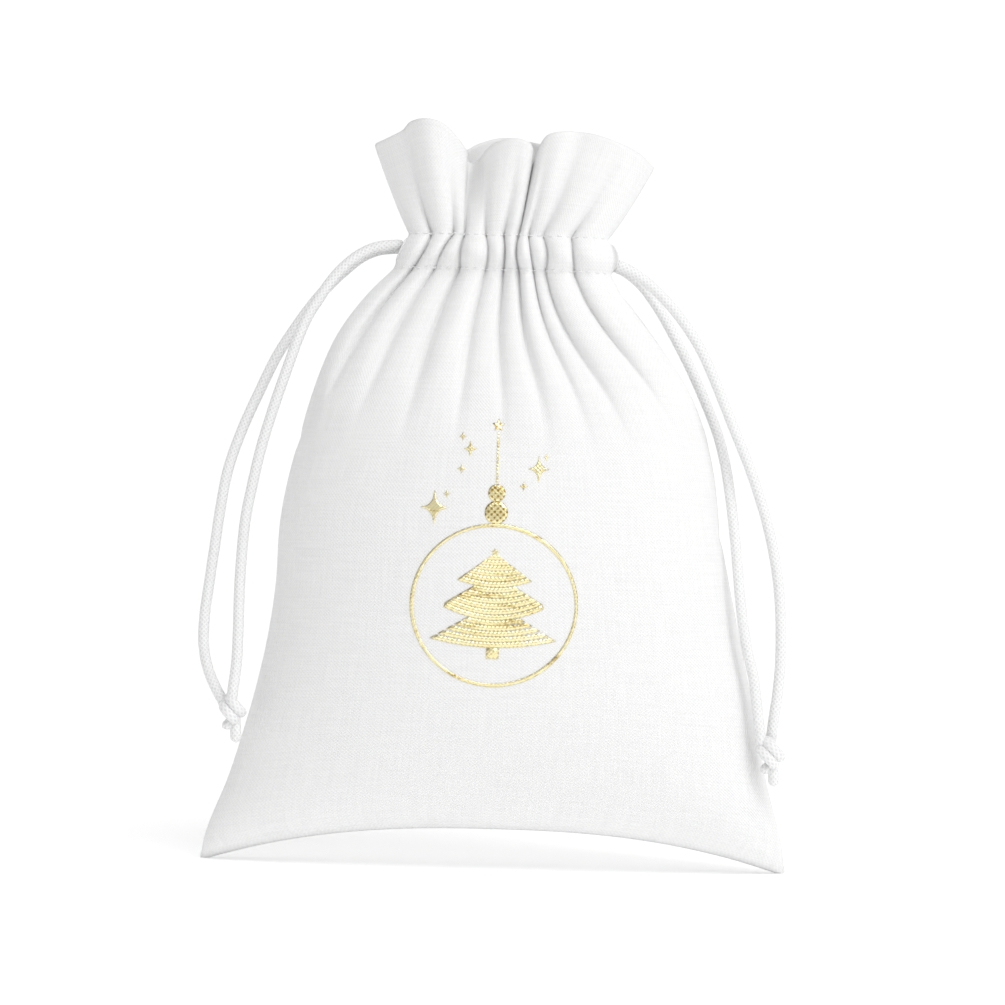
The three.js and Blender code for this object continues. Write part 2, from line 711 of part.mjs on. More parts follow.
export default pouch;
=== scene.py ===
"""A drawstring gift pouch of white cotton, drawn shut by two satin cords, with a gold foil print."""

import logging
import math
from dataclasses import dataclass, field
from enum import Enum
from typing import Callable, Iterable, Sequence

import bmesh
import bpy
import numpy as np
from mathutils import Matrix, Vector
from mathutils.bvhtree import BVHTree


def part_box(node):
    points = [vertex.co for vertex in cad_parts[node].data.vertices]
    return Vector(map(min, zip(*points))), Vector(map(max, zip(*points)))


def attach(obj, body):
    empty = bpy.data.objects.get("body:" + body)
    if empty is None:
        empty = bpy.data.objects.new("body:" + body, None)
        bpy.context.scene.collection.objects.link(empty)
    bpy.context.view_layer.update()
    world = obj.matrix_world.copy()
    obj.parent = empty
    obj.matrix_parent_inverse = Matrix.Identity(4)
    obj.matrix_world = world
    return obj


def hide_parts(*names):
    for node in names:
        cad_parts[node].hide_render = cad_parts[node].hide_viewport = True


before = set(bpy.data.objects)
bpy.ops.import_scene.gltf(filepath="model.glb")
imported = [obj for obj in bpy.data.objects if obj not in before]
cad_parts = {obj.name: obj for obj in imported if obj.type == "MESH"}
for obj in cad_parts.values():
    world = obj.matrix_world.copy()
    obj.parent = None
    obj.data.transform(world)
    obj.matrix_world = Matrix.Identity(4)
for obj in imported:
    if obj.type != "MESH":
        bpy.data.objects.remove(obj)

LOG = logging.getLogger("pouch")
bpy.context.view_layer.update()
MM = 0.001
TURN = 2.0 * math.pi
UV_SIZE = 0.2
WELD = 1e-6

Point = tuple[float, float, float]


# ---------------------------------------------------------------- shared helpers


class Face(Enum):
    """The two faces of the pouch, with the sign of y on each."""

    FRONT = -1
    BACK = 1


class Hand(Enum):
    """The two sides of the pouch, with the sign of x on each."""

    LEFT = -1
    RIGHT = 1


def smoothstep(low: float, high: float, value: np.ndarray | float) -> np.ndarray | float:
    """Rises smoothly from 0 at low to 1 at high."""
    share = np.clip((value - low) / (high - low), 0.0, 1.0)
    return share * share * (3.0 - 2.0 * share)


def spline(places: Sequence[float], values: Sequence, at: np.ndarray) -> np.ndarray:
    """A smooth curve through a few values.

    Args:
        places: Where each value stands, in rising order.
        values: One number or one point for each place.
        at: The places to read.

    Returns:
        The values there, by cubic pieces whose slopes follow their neighbours.
    """
    x = np.asarray(places, dtype=float)
    y = np.asarray(values, dtype=float)
    if y.ndim == 1:
        return spline(places, y[:, None], at)[:, 0]
    slope = np.gradient(y, x, axis=0)
    spot = np.clip(np.asarray(at, dtype=float), x[0], x[-1])
    left = np.clip(np.searchsorted(x, spot, side="right") - 1, 0, len(x) - 2)
    span = (x[left + 1] - x[left])[:, None]
    share = (spot - x[left])[:, None] / span
    square, cube = share**2, share**3
    return (
        (2 * cube - 3 * square + 1) * y[left]
        + (cube - 2 * square + share) * span * slope[left]
        + (3 * square - 2 * cube) * y[left + 1]
        + (cube - square) * span * slope[left + 1]
    )


def link(name: str, mesh: bpy.types.Mesh) -> bpy.types.Object:
    """Puts a mesh in the scene as an object at the origin."""
    piece = bpy.data.objects.new(name, mesh)
    bpy.context.scene.collection.objects.link(piece)
    return piece


def mesh_from(name: str, bm: bmesh.types.BMesh) -> bpy.types.Mesh:
    """Turns a bmesh into a smooth-shaded mesh and frees it."""
    mesh = bpy.data.meshes.new(name)
    bm.to_mesh(mesh)
    bm.free()
    mesh.polygons.foreach_set("use_smooth", [True] * len(mesh.polygons))
    return mesh


def grid(columns: int, rows: int) -> tuple[bmesh.types.BMesh, np.ndarray]:
    """A flat grid and each vertex's share across and up it.

    Args:
        columns: Faces across.
        rows: Faces up.

    Returns:
        The bmesh, and an array with one (across, up) pair for each vertex.
    """
    bm = bmesh.new()
    bm.loops.layers.uv.verify()
    bmesh.ops.create_grid(bm, x_segments=columns, y_segments=rows, size=0.5, calc_uvs=True)
    shares = np.array([(v.co.x + 0.5, v.co.y + 0.5) for v in bm.verts])
    return bm, shares


def place(bm: bmesh.types.BMesh, points: Iterable) -> None:
    """Moves each vertex of a bmesh to its point."""
    for vertex, point in zip(bm.verts, points):
        vertex.co = point


def merge(bm: bmesh.types.BMesh, part: bmesh.types.BMesh) -> None:
    """Adds one bmesh to another and frees it."""
    mesh = bpy.data.meshes.new("part")
    part.to_mesh(mesh)
    part.free()
    bm.from_mesh(mesh)
    bpy.data.meshes.remove(mesh)


def run_along(points: np.ndarray) -> np.ndarray:
    """The length of a line of points from its start to each of them."""
    steps = np.linalg.norm(np.diff(points, axis=0), axis=1)
    return np.concatenate(([0.0], np.cumsum(steps)))


def dress(
    piece: bpy.types.Object, material: bpy.types.Material, body: str, nodes: Sequence[str]
) -> None:
    """Gives a piece its material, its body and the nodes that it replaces."""
    piece.data.materials.append(material)
    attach(piece, body)
    if nodes:
        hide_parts(*nodes)


# ---------------------------------------------------------------- finishes


class Nodes:
    """A small helper that adds and joins shader nodes."""

    def __init__(self, name: str) -> None:
        """Starts an empty material with a Principled shader."""
        self.material = bpy.data.materials.new(name)
        self.material.use_nodes = True
        self.tree = self.material.node_tree
        self.shader = self.tree.nodes["Principled BSDF"]

    def add(self, kind: str, **settings: object) -> bpy.types.Node:
        """Adds a node and sets its properties."""
        node = self.tree.nodes.new(kind)
        for key, value in settings.items():
            setattr(node, key, value)
        return node

    def join(self, source: bpy.types.NodeSocket, target: bpy.types.NodeSocket) -> None:
        """Links an output to an input."""
        self.tree.links.new(source, target)

    def math(self, operation: str, first: object, second: object = None) -> bpy.types.NodeSocket:
        """A Math node.

        Args:
            operation: The node's operation.
            first: A socket or a number.
            second: A socket or a number, where the operation takes two.

        Returns:
            The node's output.
        """
        node = self.add("ShaderNodeMath", operation=operation)
        for socket, value in zip(node.inputs, (first, second)):
            if isinstance(value, bpy.types.NodeSocket):
                self.join(value, socket)
            elif value is not None:
                socket.default_value = value
        return node.outputs[0]

    def ramp(self, value: bpy.types.NodeSocket, stops: Sequence[tuple]) -> bpy.types.NodeSocket:
        """A colour ramp with its own stops, each a place and a colour."""
        node = self.add("ShaderNodeValToRGB")
        marks = node.color_ramp.elements
        for mark, (spot, colour) in zip(marks, (stops[0], stops[-1])):
            mark.position, mark.color = spot, (*colour, 1.0)
        for spot, colour in stops[1:-1]:
            marks.new(spot).color = (*colour, 1.0)
        self.join(value, node.inputs["Fac"])
        return node.outputs["Color"]

    def blend(self, *parts: tuple[bpy.types.NodeSocket, float]) -> bpy.types.NodeSocket:
        """The sum of two values, each times its own share."""
        first, second = (self.math("MULTIPLY", value, share) for value, share in parts)
        return self.math("ADD", first, second)

    def noise(self, source: bpy.types.NodeSocket, scale: float, detail: float) -> bpy.types.NodeSocket:
        """Noise of a given scale on some coordinates."""
        node = self.add("ShaderNodeTexNoise")
        node.inputs["Scale"].default_value = scale
        node.inputs["Detail"].default_value = detail
        self.join(source, node.inputs["Vector"])
        return node.outputs["Fac"]

    def stretched(self, source: bpy.types.NodeSocket, scale: Point) -> bpy.types.NodeSocket:
        """Coordinates scaled by their own factor along each axis."""
        node = self.add("ShaderNodeMapping")
        node.inputs["Scale"].default_value = scale
        self.join(source, node.inputs["Vector"])
        return node.outputs["Vector"]

    def bump(self, height: bpy.types.NodeSocket, distance: float, strength: float) -> None:
        """Bumps the shader's normal by a height."""
        node = self.add("ShaderNodeBump")
        node.inputs["Distance"].default_value = distance
        node.inputs["Strength"].default_value = strength
        self.join(height, node.inputs["Height"])
        self.join(node.outputs["Normal"], self.shader.inputs["Normal"])


@dataclass(frozen=True)
class CottonFinish:
    """White plain-weave cotton, with threads that follow the cloth's own UV map."""

    colour: tuple[float, float, float] = (0.88, 0.88, 0.878)
    shade: tuple[float, float, float] = (0.80, 0.80, 0.80)
    pitch: float = 0.98 * MM
    sway: float = 1.6
    slub_size: Point = (14.0, 420.0, 1.0)
    depth: float = 0.1 * MM
    strength: float = 0.6

    def make(self) -> bpy.types.Material:
        """Builds the material."""
        nodes = Nodes("cotton")
        uv = nodes.add("ShaderNodeUVMap").outputs["UV"]
        turns = TURN * UV_SIZE / self.pitch
        drift = nodes.noise(uv, 90.0, 2.0)
        split = nodes.add("ShaderNodeSeparateXYZ")
        nodes.join(uv, split.inputs[0])
        sway = nodes.math("MULTIPLY", drift, self.sway)
        waves = []
        for axis in ("X", "Y"):
            angle = nodes.math("ADD", nodes.math("MULTIPLY", split.outputs[axis], turns), sway)
            waves.append(nodes.math("SINE", angle))
        checker = nodes.math("MULTIPLY", waves[0], waves[1])
        long, thin, _ = self.slub_size
        slub_across = nodes.noise(nodes.stretched(uv, self.slub_size), 1.0, 2.0)
        slub_up = nodes.noise(nodes.stretched(uv, (thin, long, 1.0)), 1.0, 2.0)
        slubs = nodes.math("ADD", slub_across, slub_up)
        weave = nodes.blend((checker, 0.62), (slubs, 0.55))
        nodes.bump(weave, self.depth, self.strength)
        tone = nodes.blend((checker, 0.2), (slubs, 0.66))
        tint = nodes.ramp(tone, ((0.35, self.shade), (0.85, self.colour)))
        nodes.join(tint, nodes.shader.inputs["Base Color"])
        nodes.shader.inputs["Roughness"].default_value = 0.92
        nodes.shader.inputs["Specular IOR Level"].default_value = 0.15
        nodes.shader.inputs["Sheen Weight"].default_value = 0.12
        nodes.shader.inputs["Sheen Roughness"].default_value = 0.6
        return nodes.material


@dataclass(frozen=True)
class SatinFinish:
    """A knitted satin cord: crossed ribs along the cord with a soft gloss, and painted shade in the rib
    grooves.
    """

    colour: tuple[float, float, float] = (0.90, 0.90, 0.90)
    shade: tuple[float, float, float] = (0.80, 0.80, 0.805)
    rib: float = 1.25 * MM
    turns_round: float = 7.0
    depth: float = 0.12 * MM
    strength: float = 0.6

    def make(self) -> bpy.types.Material:
        """Builds the material."""
        nodes = Nodes("satin_cord")
        uv = nodes.add("ShaderNodeUVMap").outputs["UV"]
        split = nodes.add("ShaderNodeSeparateXYZ")
        nodes.join(uv, split.inputs[0])
        along = nodes.math("MULTIPLY", split.outputs["X"], TURN * UV_SIZE / self.rib)
        around = nodes.math("MULTIPLY", split.outputs["Y"], TURN * self.turns_round)
        first = nodes.math("SINE", nodes.math("ADD", along, around))
        second = nodes.math("SINE", nodes.math("SUBTRACT", along, around))
        ribs = nodes.math("MAXIMUM", first, second)
        fray = nodes.noise(nodes.stretched(uv, (700.0, 60.0, 1.0)), 1.0, 3.0)
        height = nodes.math("ADD", ribs, nodes.math("MULTIPLY", fray, 0.8))
        nodes.bump(height, self.depth, self.strength)
        # Painted shade: the colour falls to the shade grey in the low rib grooves, and the fray noise adds a
        # random tone.
        tint = nodes.ramp(nodes.math("MULTIPLY", height, 0.6), ((0.0, self.shade), (0.55, self.colour)))
        nodes.join(tint, nodes.shader.inputs["Base Color"])
        rough = nodes.math("ADD", nodes.math("MULTIPLY", fray, 0.25), 0.32)
        nodes.join(rough, nodes.shader.inputs["Roughness"])
        nodes.shader.inputs["Sheen Weight"].default_value = 0.15
        nodes.shader.inputs["Specular IOR Level"].default_value = 0.45
        return nodes.material


@dataclass(frozen=True)
class ThreadFinish:
    """Twisted white sewing thread."""

    colour: tuple[float, float, float] = (0.90, 0.90, 0.90)
    shade: tuple[float, float, float] = (0.82, 0.82, 0.82)
    twist: float = 900.0
    depth: float = 0.05 * MM
    strength: float = 0.5

    def make(self) -> bpy.types.Material:
        """Builds the material."""
        nodes = Nodes("sewing_thread")
        spot = nodes.add("ShaderNodeTexCoord").outputs["Object"]
        twist = nodes.add("ShaderNodeTexWave", bands_direction="DIAGONAL")
        twist.inputs["Scale"].default_value = self.twist
        twist.inputs["Distortion"].default_value = 1.0
        nodes.join(spot, twist.inputs["Vector"])
        tint = nodes.ramp(twist.outputs["Fac"], ((0.1, self.shade), (0.8, self.colour)))
        nodes.join(tint, nodes.shader.inputs["Base Color"])
        nodes.bump(twist.outputs["Fac"], self.depth, self.strength)
        nodes.shader.inputs["Roughness"].default_value = 0.6
        return nodes.material


@dataclass(frozen=True)
class FoilFinish:
    """Gold foil pressed on the weave: bright metal bumped by the threads, streaked darker by noise and broken
    by painted glints.
    """

    name: str = "gold_foil"
    beads: float = 0.0
    light: tuple[float, float, float] = (0.94, 0.83, 0.45)
    deep: tuple[float, float, float] = (0.42, 0.27, 0.07)
    # Painted highlight: the pale colour of the painted glints.
    glint: tuple[float, float, float] = (1.0, 0.93, 0.66)
    weave: float = 0.98 * MM
    depth: float = 0.08 * MM
    strength: float = 0.7

    def checks(self, nodes: Nodes, split: bpy.types.Node, pitch: float) -> bpy.types.NodeSocket:
        """Crossed waves of one pitch across and up the print."""
        waves = []
        for axis in ("X", "Z"):
            waves.append(nodes.math("SINE", nodes.math("MULTIPLY", split.outputs[axis], TURN / pitch)))
        return nodes.math("MULTIPLY", waves[0], waves[1])

    def make(self) -> bpy.types.Material:
        """Builds the material."""
        nodes = Nodes(self.name)
        spot = nodes.add("ShaderNodeTexCoord").outputs["Object"]
        grain = nodes.noise(spot, 1500.0, 2.0)
        flow = nodes.noise(nodes.stretched(spot, (60.0, 60.0, 420.0)), 1.0, 3.0)
        split = nodes.add("ShaderNodeSeparateXYZ")
        nodes.join(spot, split.inputs[0])
        checker = self.checks(nodes, split, self.weave)
        height = nodes.math("ADD", nodes.math("MULTIPLY", checker, 0.5), grain)
        nodes.bump(height, self.depth, self.strength)
        tone = nodes.blend((flow, 0.75), (grain, 0.3))
        if self.beads:
            pattern = self.checks(nodes, split, self.beads)
            tone = nodes.math("ADD", nodes.blend((tone, 0.5), (pattern, 0.16)), 0.2)
        # Painted glints: the tone runs from the deep colour in darker noise streaks, through the gold, to the
        # pale glint colour at its top, a painted highlight.
        tint = nodes.ramp(tone, ((0.36, self.deep), (0.47, self.light), (0.8, self.glint)))
        nodes.join(tint, nodes.shader.inputs["Base Color"])
        nodes.shader.inputs["Metallic"].default_value = 1.0
        nodes.shader.inputs["Roughness"].default_value = 0.34
        return nodes.material


class Finishes:
    """The four finishes of the pouch, each built once."""

    def __init__(self) -> None:
        """Builds every material."""
        self.cotton = CottonFinish().make()
        self.satin = SatinFinish().make()
        self.thread = ThreadFinish().make()
        self.foil = FoilFinish().make()
        self.beaded = FoilFinish(name="beaded_foil", beads=1.5 * MM).make()


# ---------------------------------------------------------------- the cords


@dataclass
class Tube:
    """A round cord along a list of points, closed by round ends."""

    radius: float
    sides: int = 14
    step: float = 0.7 * MM
    samples: int = 24
    fewest_rings: int = 6
    end_girth: float = 0.12

    def centres(self, points: Sequence[Point]) -> np.ndarray:
        """Evenly spaced ring centres on a smooth curve through the points."""
        route = np.asarray(points, dtype=float)
        legs = np.linalg.norm(np.diff(route, axis=0), axis=1)
        marks = np.concatenate(([0.0], np.cumsum(np.sqrt(legs))))
        fine = spline(marks, route, np.linspace(0.0, marks[-1], self.samples * len(route)))
        run = run_along(fine)
        even = np.linspace(0.0, run[-1], max(int(run[-1] / self.step), self.fewest_rings))
        return np.stack([np.interp(even, run, fine[:, axis]) for axis in range(3)], axis=1)

    def frames(self, centres: np.ndarray) -> tuple[np.ndarray, np.ndarray]:
        """Two directions across the cord at each place, carried along without twist."""
        along = np.gradient(centres, axis=0)
        along /= np.linalg.norm(along, axis=1)[:, None]
        first = np.cross(along[0], (0.0, 0.0, 1.0))
        if np.linalg.norm(first) < 1e-3:
            first = np.array((1.0, 0.0, 0.0))
        side = []
        for direction in along:
            first = first - direction * np.dot(first, direction)
            first = first / np.linalg.norm(first)
            side.append(first)
        side = np.array(side)
        return side, np.cross(along, side)

    def add(self, bm: bmesh.types.BMesh, points: Sequence[Point]) -> np.ndarray:
        """Adds the cord to a bmesh, with its length along U.

        Args:
            bm: The bmesh, which needs a UV layer.
            points: The route.

        Returns:
            The ring centres.
        """
        centres = self.centres(points)
        side, up = self.frames(centres)
        run = run_along(centres)
        inset = np.minimum(run, run[-1] - run)
        share = np.clip(inset / self.radius, 0.0, 1.0)
        girth = self.radius * np.maximum(np.sqrt(1.0 - (1.0 - share) ** 2), self.end_girth)
        part, shares = grid(len(centres) - 1, self.sides)
        rows = np.rint(shares[:, 0] * (len(centres) - 1)).astype(int)
        angle = shares[:, 1] * TURN
        outward = np.cos(angle)[:, None] * side[rows] + np.sin(angle)[:, None] * up[rows]
        place(part, centres[rows] + girth[rows, None] * outward)
        layer = part.loops.layers.uv.verify()
        for face in part.faces:
            for loop in face.loops:
                u, v = loop[layer].uv
                loop[layer].uv = (u * run[-1] / UV_SIZE, v)
        bmesh.ops.remove_doubles(part, verts=part.verts, dist=WELD)
        bmesh.ops.holes_fill(part, edges=[e for e in part.edges if e.is_boundary])
        bmesh.ops.recalc_face_normals(part, faces=part.faces)
        merge(bm, part)
        return centres


@dataclass
class Cord:
    """One draw cord: its hidden run, its two leads, its two free strands and their knot."""

    hand: Hand
    front_route: Sequence[Point]
    back_route: Sequence[Point]
    knot_middle: Point
    wrap_start: float = 175.0
    wrap_radius: float = 2.2
    wrap_rise: float = 2.0
    wrap_turns: float = 1.6
    wrap_tilt: float = 36.0
    wrap_steps: int = 15
    knot_entry: float = 0.45
    knot_step: float = 0.45 * MM
    stub_drop: float = 8.4
    diameter: float = 2.8 * MM
    channel_offset: float = 5.2 * MM
    pivot_out: float = 26.7 * MM

    @property
    def name(self) -> str:
        """The cord's side as a word."""
        return self.hand.name.lower()

    def exit_point(self, face: Face) -> Point:
        """Where a strand leaves the casing."""
        low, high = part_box(f"{self.name}_front_lead")
        level = (low[2] + high[2]) / 2.0
        return (self.hand.value * self.pivot_out, face.value * self.channel_offset, level)

    def strand(self, face: Face, satin: bpy.types.Material) -> tuple[bpy.types.Object, np.ndarray]:
        """Builds one free strand.

        Args:
            face: The face whose channel it leaves.
            satin: The cord's material.

        Returns:
            The strand and its ring centres.
        """
        route = self.front_route if face is Face.FRONT else self.back_route
        points = [self.exit_point(face)] + [tuple(MM * value for value in point) for point in route]
        bm = bmesh.new()
        bm.loops.layers.uv.verify()
        centres = Tube(self.diameter / 2).add(bm, points)
        node = f"{self.name}_{face.name.lower()}_tail"
        piece = link(f"{node}_cord", mesh_from(f"{node}_cord", bm))
        dress(piece, satin, f"{self.name}_tails", [node])
        return piece, centres

    def knot(self, satin: bpy.types.Material) -> bpy.types.Object:
        """Builds the overhand knot: one strand runs through and the other wraps round it."""
        middle = np.array(self.knot_middle)
        starts = []
        for route in (self.front_route, self.back_route):
            above, end = np.array(route[-2]), np.array(route[-1])
            shares = (self.knot_entry, 1.0)
            starts.append([tuple(above * (1 - share) + end * share - middle) for share in shares])
        core = list(starts[0])
        core += [(0.3, 0.4, 1.2), (0.5, 0.5, -1.8), (0.9, -0.2, -4.6), (1.1, -0.4, -self.stub_drop)]
        wrap = list(starts[1])
        tilt = math.radians(self.wrap_tilt)
        for share in np.linspace(0.0, 1.0, self.wrap_steps):
            angle = math.radians(self.wrap_start + share * 360.0 * self.wrap_turns)
            x, rise = self.wrap_radius * math.cos(angle), self.wrap_rise * (1 - 2 * share)
            turned = (x * math.cos(tilt) + rise * math.sin(tilt), rise * math.cos(tilt) - x * math.sin(tilt))
            wrap.append((turned[0], self.wrap_radius * math.sin(angle), turned[1]))
        wrap += [(-1.3, -0.6, -4.3), (-1.5, -0.3, -5.1)]
        bm = bmesh.new()
        bm.loops.layers.uv.verify()
        for path in (core, wrap):
            points = [tuple((middle + np.array(spot)) * MM) for spot in path]
            Tube(self.diameter / 2, step=self.knot_step).add(bm, points)
        name = f"{self.name}_knot_cord"
        piece = link(name, mesh_from(name, bm))
        dress(piece, satin, f"{self.name}_tails", [f"{self.name}_knot"])
        return piece

    def build(self, satin: bpy.types.Material) -> None:
        """Builds the cord's knot and its free strands, and logs each strand's length."""
        knot = self.knot(satin)
        for face in Face:
            piece, centres = self.strand(face, satin)
            length = float(run_along(centres)[-1])
            self.exit_point(face)
            LOG.info("%s strand: %.3f m", piece.name, length)


LEFT_FRONT_ROUTE = (
    (-30.2, -5.2, 157.4), (-34, -5.2, 156.8), (-37.9, -5.1, 155), (-42.1, -5, 151.6),
    (-45.6, -4.9, 147.4), (-48.3, -4.8, 143.2), (-50.8, -4.8, 139), (-52.8, -4.8, 134.3),
    (-56.1, -4.9, 124.4), (-59.2, -5.1, 114.5), (-61.9, -5.4, 104.6), (-63.9, -5.8, 94.7),
    (-65.2, -6.4, 86.9), (-65.9, -7.2, 77), (-66, -9.6, 67.2), (-65.8, -12.2, 57.4),
    (-65.8, -14.4, 50.5), (-66.3, -16, 44.5), (-66.6, -16.8, 40.5),
)
LEFT_BACK_ROUTE = (
    (-30.2, 5.2, 157.4), (-34, 5.1, 156.8), (-37.9, 4.8, 155), (-42.1, 4.3, 151.5), (-45.8, 3.7, 147.8),
    (-50, 3, 142.8), (-55.5, 2.1, 134.6), (-59, 1.4, 128.6), (-63.2, 0.6, 119.3), (-67.3, -0.3, 109.3),
    (-70.4, -1.2, 99.4), (-72, -2.1, 89.6), (-73.1, -3, 80), (-74.1, -4, 71), (-74.9, -6.3, 62.1),
    (-74.7, -8.9, 54.5), (-73.1, -11.3, 48.3), (-70.4, -13.3, 43), (-68.4, -14.2, 39.9),
)
RIGHT_FRONT_ROUTE = (
    (29.6, -5.2, 153.3), (34.2, -5.3, 150.5), (38.7, -5.5, 146.7), (42.8, -5.7, 142.3), (46.7, -6, 137.2),
    (49.9, -6.2, 132), (52.6, -6.4, 126.4), (55, -6.6, 120.9), (57.4, -6.8, 115.2), (60, -7, 109.2),
    (62.7, -7.3, 102.8), (65, -7.6, 96.5), (67.1, -8, 90), (69.2, -8.6, 81.5), (70.6, -9.2, 73),
    (71.3, -9.9, 63.8), (71.4, -10.6, 54), (70.9, -11, 46.5), (70.1, -11.2, 40), (69.5, -11.3, 34.5),
)
RIGHT_BACK_ROUTE = (
    (29.6, 5.2, 153.3), (34, 5, 150), (37.8, 4.7, 145.3), (41, 4.4, 140.3), (44, 3.8, 135),
    (47.2, 3, 129), (50.3, 2, 122.4), (52.9, 1, 116.4), (55, -0.1, 110.8), (56.8, -1.8, 103.6),
    (58.1, -4, 95.5), (59.1, -6.4, 87.5), (59.9, -9, 79.2), (60.7, -11, 70.6), (61.7, -12, 63),
    (63, -12.2, 56.5), (64.6, -12.2, 50.2), (65.5, -12.7, 44), (66.2, -13.6, 38.4), (67, -14, 34),
)
LEFT_KNOT = (-66.4, -15.4, 38.9)
RIGHT_KNOT = (69.2, -13.4, 31.4)


# ---------------------------------------------------------------- the cloth


@dataclass
class PouchShape:
    """The filled pouch's outline, in millimetres, as smooth functions of height."""

    neck_height: float = 151.6
    left_flank: Sequence[tuple[float, float]] = (
        (0, 75), (5.8, 74.9), (20, 68.7), (32.8, 64.9), (48.8, 61.3), (69.4, 58.5), (87.1, 57.5),
        (111.7, 52.3), (125, 48.3), (135.2, 43.8), (144, 37.5), (151.6, 30.5),
    )
    right_flank: Sequence[tuple[float, float]] = (
        (0, 75), (5.8, 74.9), (22.7, 70), (38, 67), (53.1, 63.8), (82.9, 57.8), (107.7, 53.0),
        (124.3, 46.7), (130.5, 42.4), (137.3, 36.8), (145, 30.9), (151.6, 27.2),
    )
    half_depths: Sequence[tuple[float, float]] = (
        (0, 30.5), (60, 31), (85, 30.5), (100, 28.2), (115, 24.2), (130, 18.8), (143, 13.4), (151.6, 10.6),
    )
    rounding: float = 60.0
    rounding_power: float = 2.6
    arch: float = 8.9
    corner_drop: float = 1.2
    arch_power: float = 2.5
    arch_fade: float = 70.0
    half_base: float = 75.0
    section_steps: int = 181
    squareness: float = 0.35
    square_below: float = 60.0

    def half_width(self, height: np.ndarray, hand: Hand) -> np.ndarray:
        """Half the width at some heights, on one side."""
        flank = self.left_flank if hand is Hand.LEFT else self.right_flank
        places, values = zip(*flank)
        return spline(places, values, height)

    def half_depth(self, height: np.ndarray) -> np.ndarray:
        """Half the depth at some heights."""
        places, values = zip(*self.half_depths)
        body = spline(places, values, height)
        below = np.clip(1.0 - height / self.rounding, 0.0, 1.0)
        return body * (1.0 - below**self.rounding_power) ** (1.0 / self.rounding_power)

    def lift(self, x: np.ndarray, height: np.ndarray) -> np.ndarray:
        """How far the bottom edge is lifted between the corners."""
        out = np.clip(np.abs(x) / self.half_base, 0.0, 1.0)
        edge = self.arch - (self.arch + self.corner_drop) * out**self.arch_power
        return edge * np.clip(1.0 - height / self.arch_fade, 0.0, 1.0)

    def section(self, height: float, across: np.ndarray) -> tuple[np.ndarray, np.ndarray]:
        """One level of the body, with the cloth spread evenly along it.

        Args:
            height: The level.
            across: Shares from the left seam to the right seam.

        Returns:
            x, and the distance in front of the middle.
        """
        turn = np.linspace(-math.pi / 2, math.pi / 2, self.section_steps)
        level = np.array([height])
        left = self.half_width(level, Hand.LEFT)[0]
        right = self.half_width(level, Hand.RIGHT)[0]
        x = np.where(turn < 0, left, right) * np.sin(turn)
        power = 2.0 + self.squareness * float(smoothstep(self.square_below, 0.0, height))
        out = np.abs(np.sin(turn))
        y = self.half_depth(level)[0] * np.clip(1.0 - out**power, 0.0, 1.0) ** (1.0 / power)
        run = run_along(np.stack([x, y], axis=1))
        return np.interp(across * run[-1], run, x), np.interp(across * run[-1], run, y)


@dataclass
class Gathers:
    """The drawn neck of one face, in millimetres: its creases low and high, and its frill's rim."""

    creases: Sequence[float]
    high_creases: Sequence[float]
    rim: Sequence[tuple[float, float, float, float]]
    crease_depth: float = 7.7
    leg: float = 9.0
    stretch: float = 1.1
    sheet: float = 150.0
    sway: float = 0.8
    sway_wave: tuple[float, float] = (1.7, 0.5)
    pinch: float = 0.11
    most_bulge: float = 4.6
    bulge_rate: float = 0.4
    bulge_range: tuple[float, float] = (0.92, 0.2)
    bulge_wave: tuple[float, float] = (2.3, 1.0)
    swell_range: tuple[float, float] = (0.84, 0.28)
    roundness: float = 0.75
    side_turn: float = 0.22
    side_loss: float = 0.45

    def shares(self) -> np.ndarray:
        """The share of the cloth's width at each crease."""
        widths = np.diff(np.asarray(self.creases))
        cloth = self.stretch * widths + self.leg
        return np.concatenate(([0.0], np.cumsum(cloth))) / cloth.sum()

    def ring(self, across: np.ndarray, swell: float, up: float = 0.0) -> tuple[np.ndarray, np.ndarray]:
        """The gathered ring at the casing.

        Args:
            across: Shares from the left seam to the right seam.
            swell: How far the ring stands out, in millimetres.
            up: Share of the casing's height.

        Returns:
            x, and the distance in front of the middle.
        """
        marks = (1 - up) * np.asarray(self.creases, dtype=float) + up * np.asarray(self.high_creases)
        wave = np.sin(self.sway_wave[0] * np.arange(len(marks)) + self.sway_wave[1])
        sway = self.sway * math.sin(math.pi * up) * wave
        sway[[0, -1]] = 0.0
        marks = marks + sway
        shares = self.shares()
        lobe = np.clip(np.searchsorted(shares, across, side="right") - 1, 0, len(marks) - 2)
        t = (across - shares[lobe]) / (shares[lobe + 1] - shares[lobe])
        width = marks[lobe + 1] - marks[lobe]
        x = marks[lobe] + width * (t - self.pinch * np.sin(TURN * t))
        half = np.where(x < 0, -marks[0], marks[-1])
        out = np.clip(np.abs(x / half), 0, 1)
        base = (self.crease_depth + swell) * (1 - out**4) ** 0.25
        cloth = (shares[lobe + 1] - shares[lobe]) * self.sheet
        slack = np.sqrt(np.maximum(cloth**2 - width**2, 0))
        bulge = np.minimum(self.bulge_rate * slack, self.most_bulge)
        wave = np.sin(self.bulge_wave[0] * lobe + self.bulge_wave[1])
        bulge = bulge * (self.bulge_range[0] + self.bulge_range[1] * wave)
        bulge = bulge * (self.swell_range[0] + self.swell_range[1] * swell)
        outward = np.sin(math.pi * t) ** self.roundness
        steep = out**6
        x = x + np.sign(x) * steep * outward * bulge * self.side_turn
        return x, base + bulge * outward * (1 - self.side_loss * steep)

    def edge(self, across: np.ndarray) -> np.ndarray:
        """The frill's rim as points of x, distance in front and height."""
        places = [point[0] for point in self.rim]
        return spline(places, [point[1:] for point in self.rim], across)


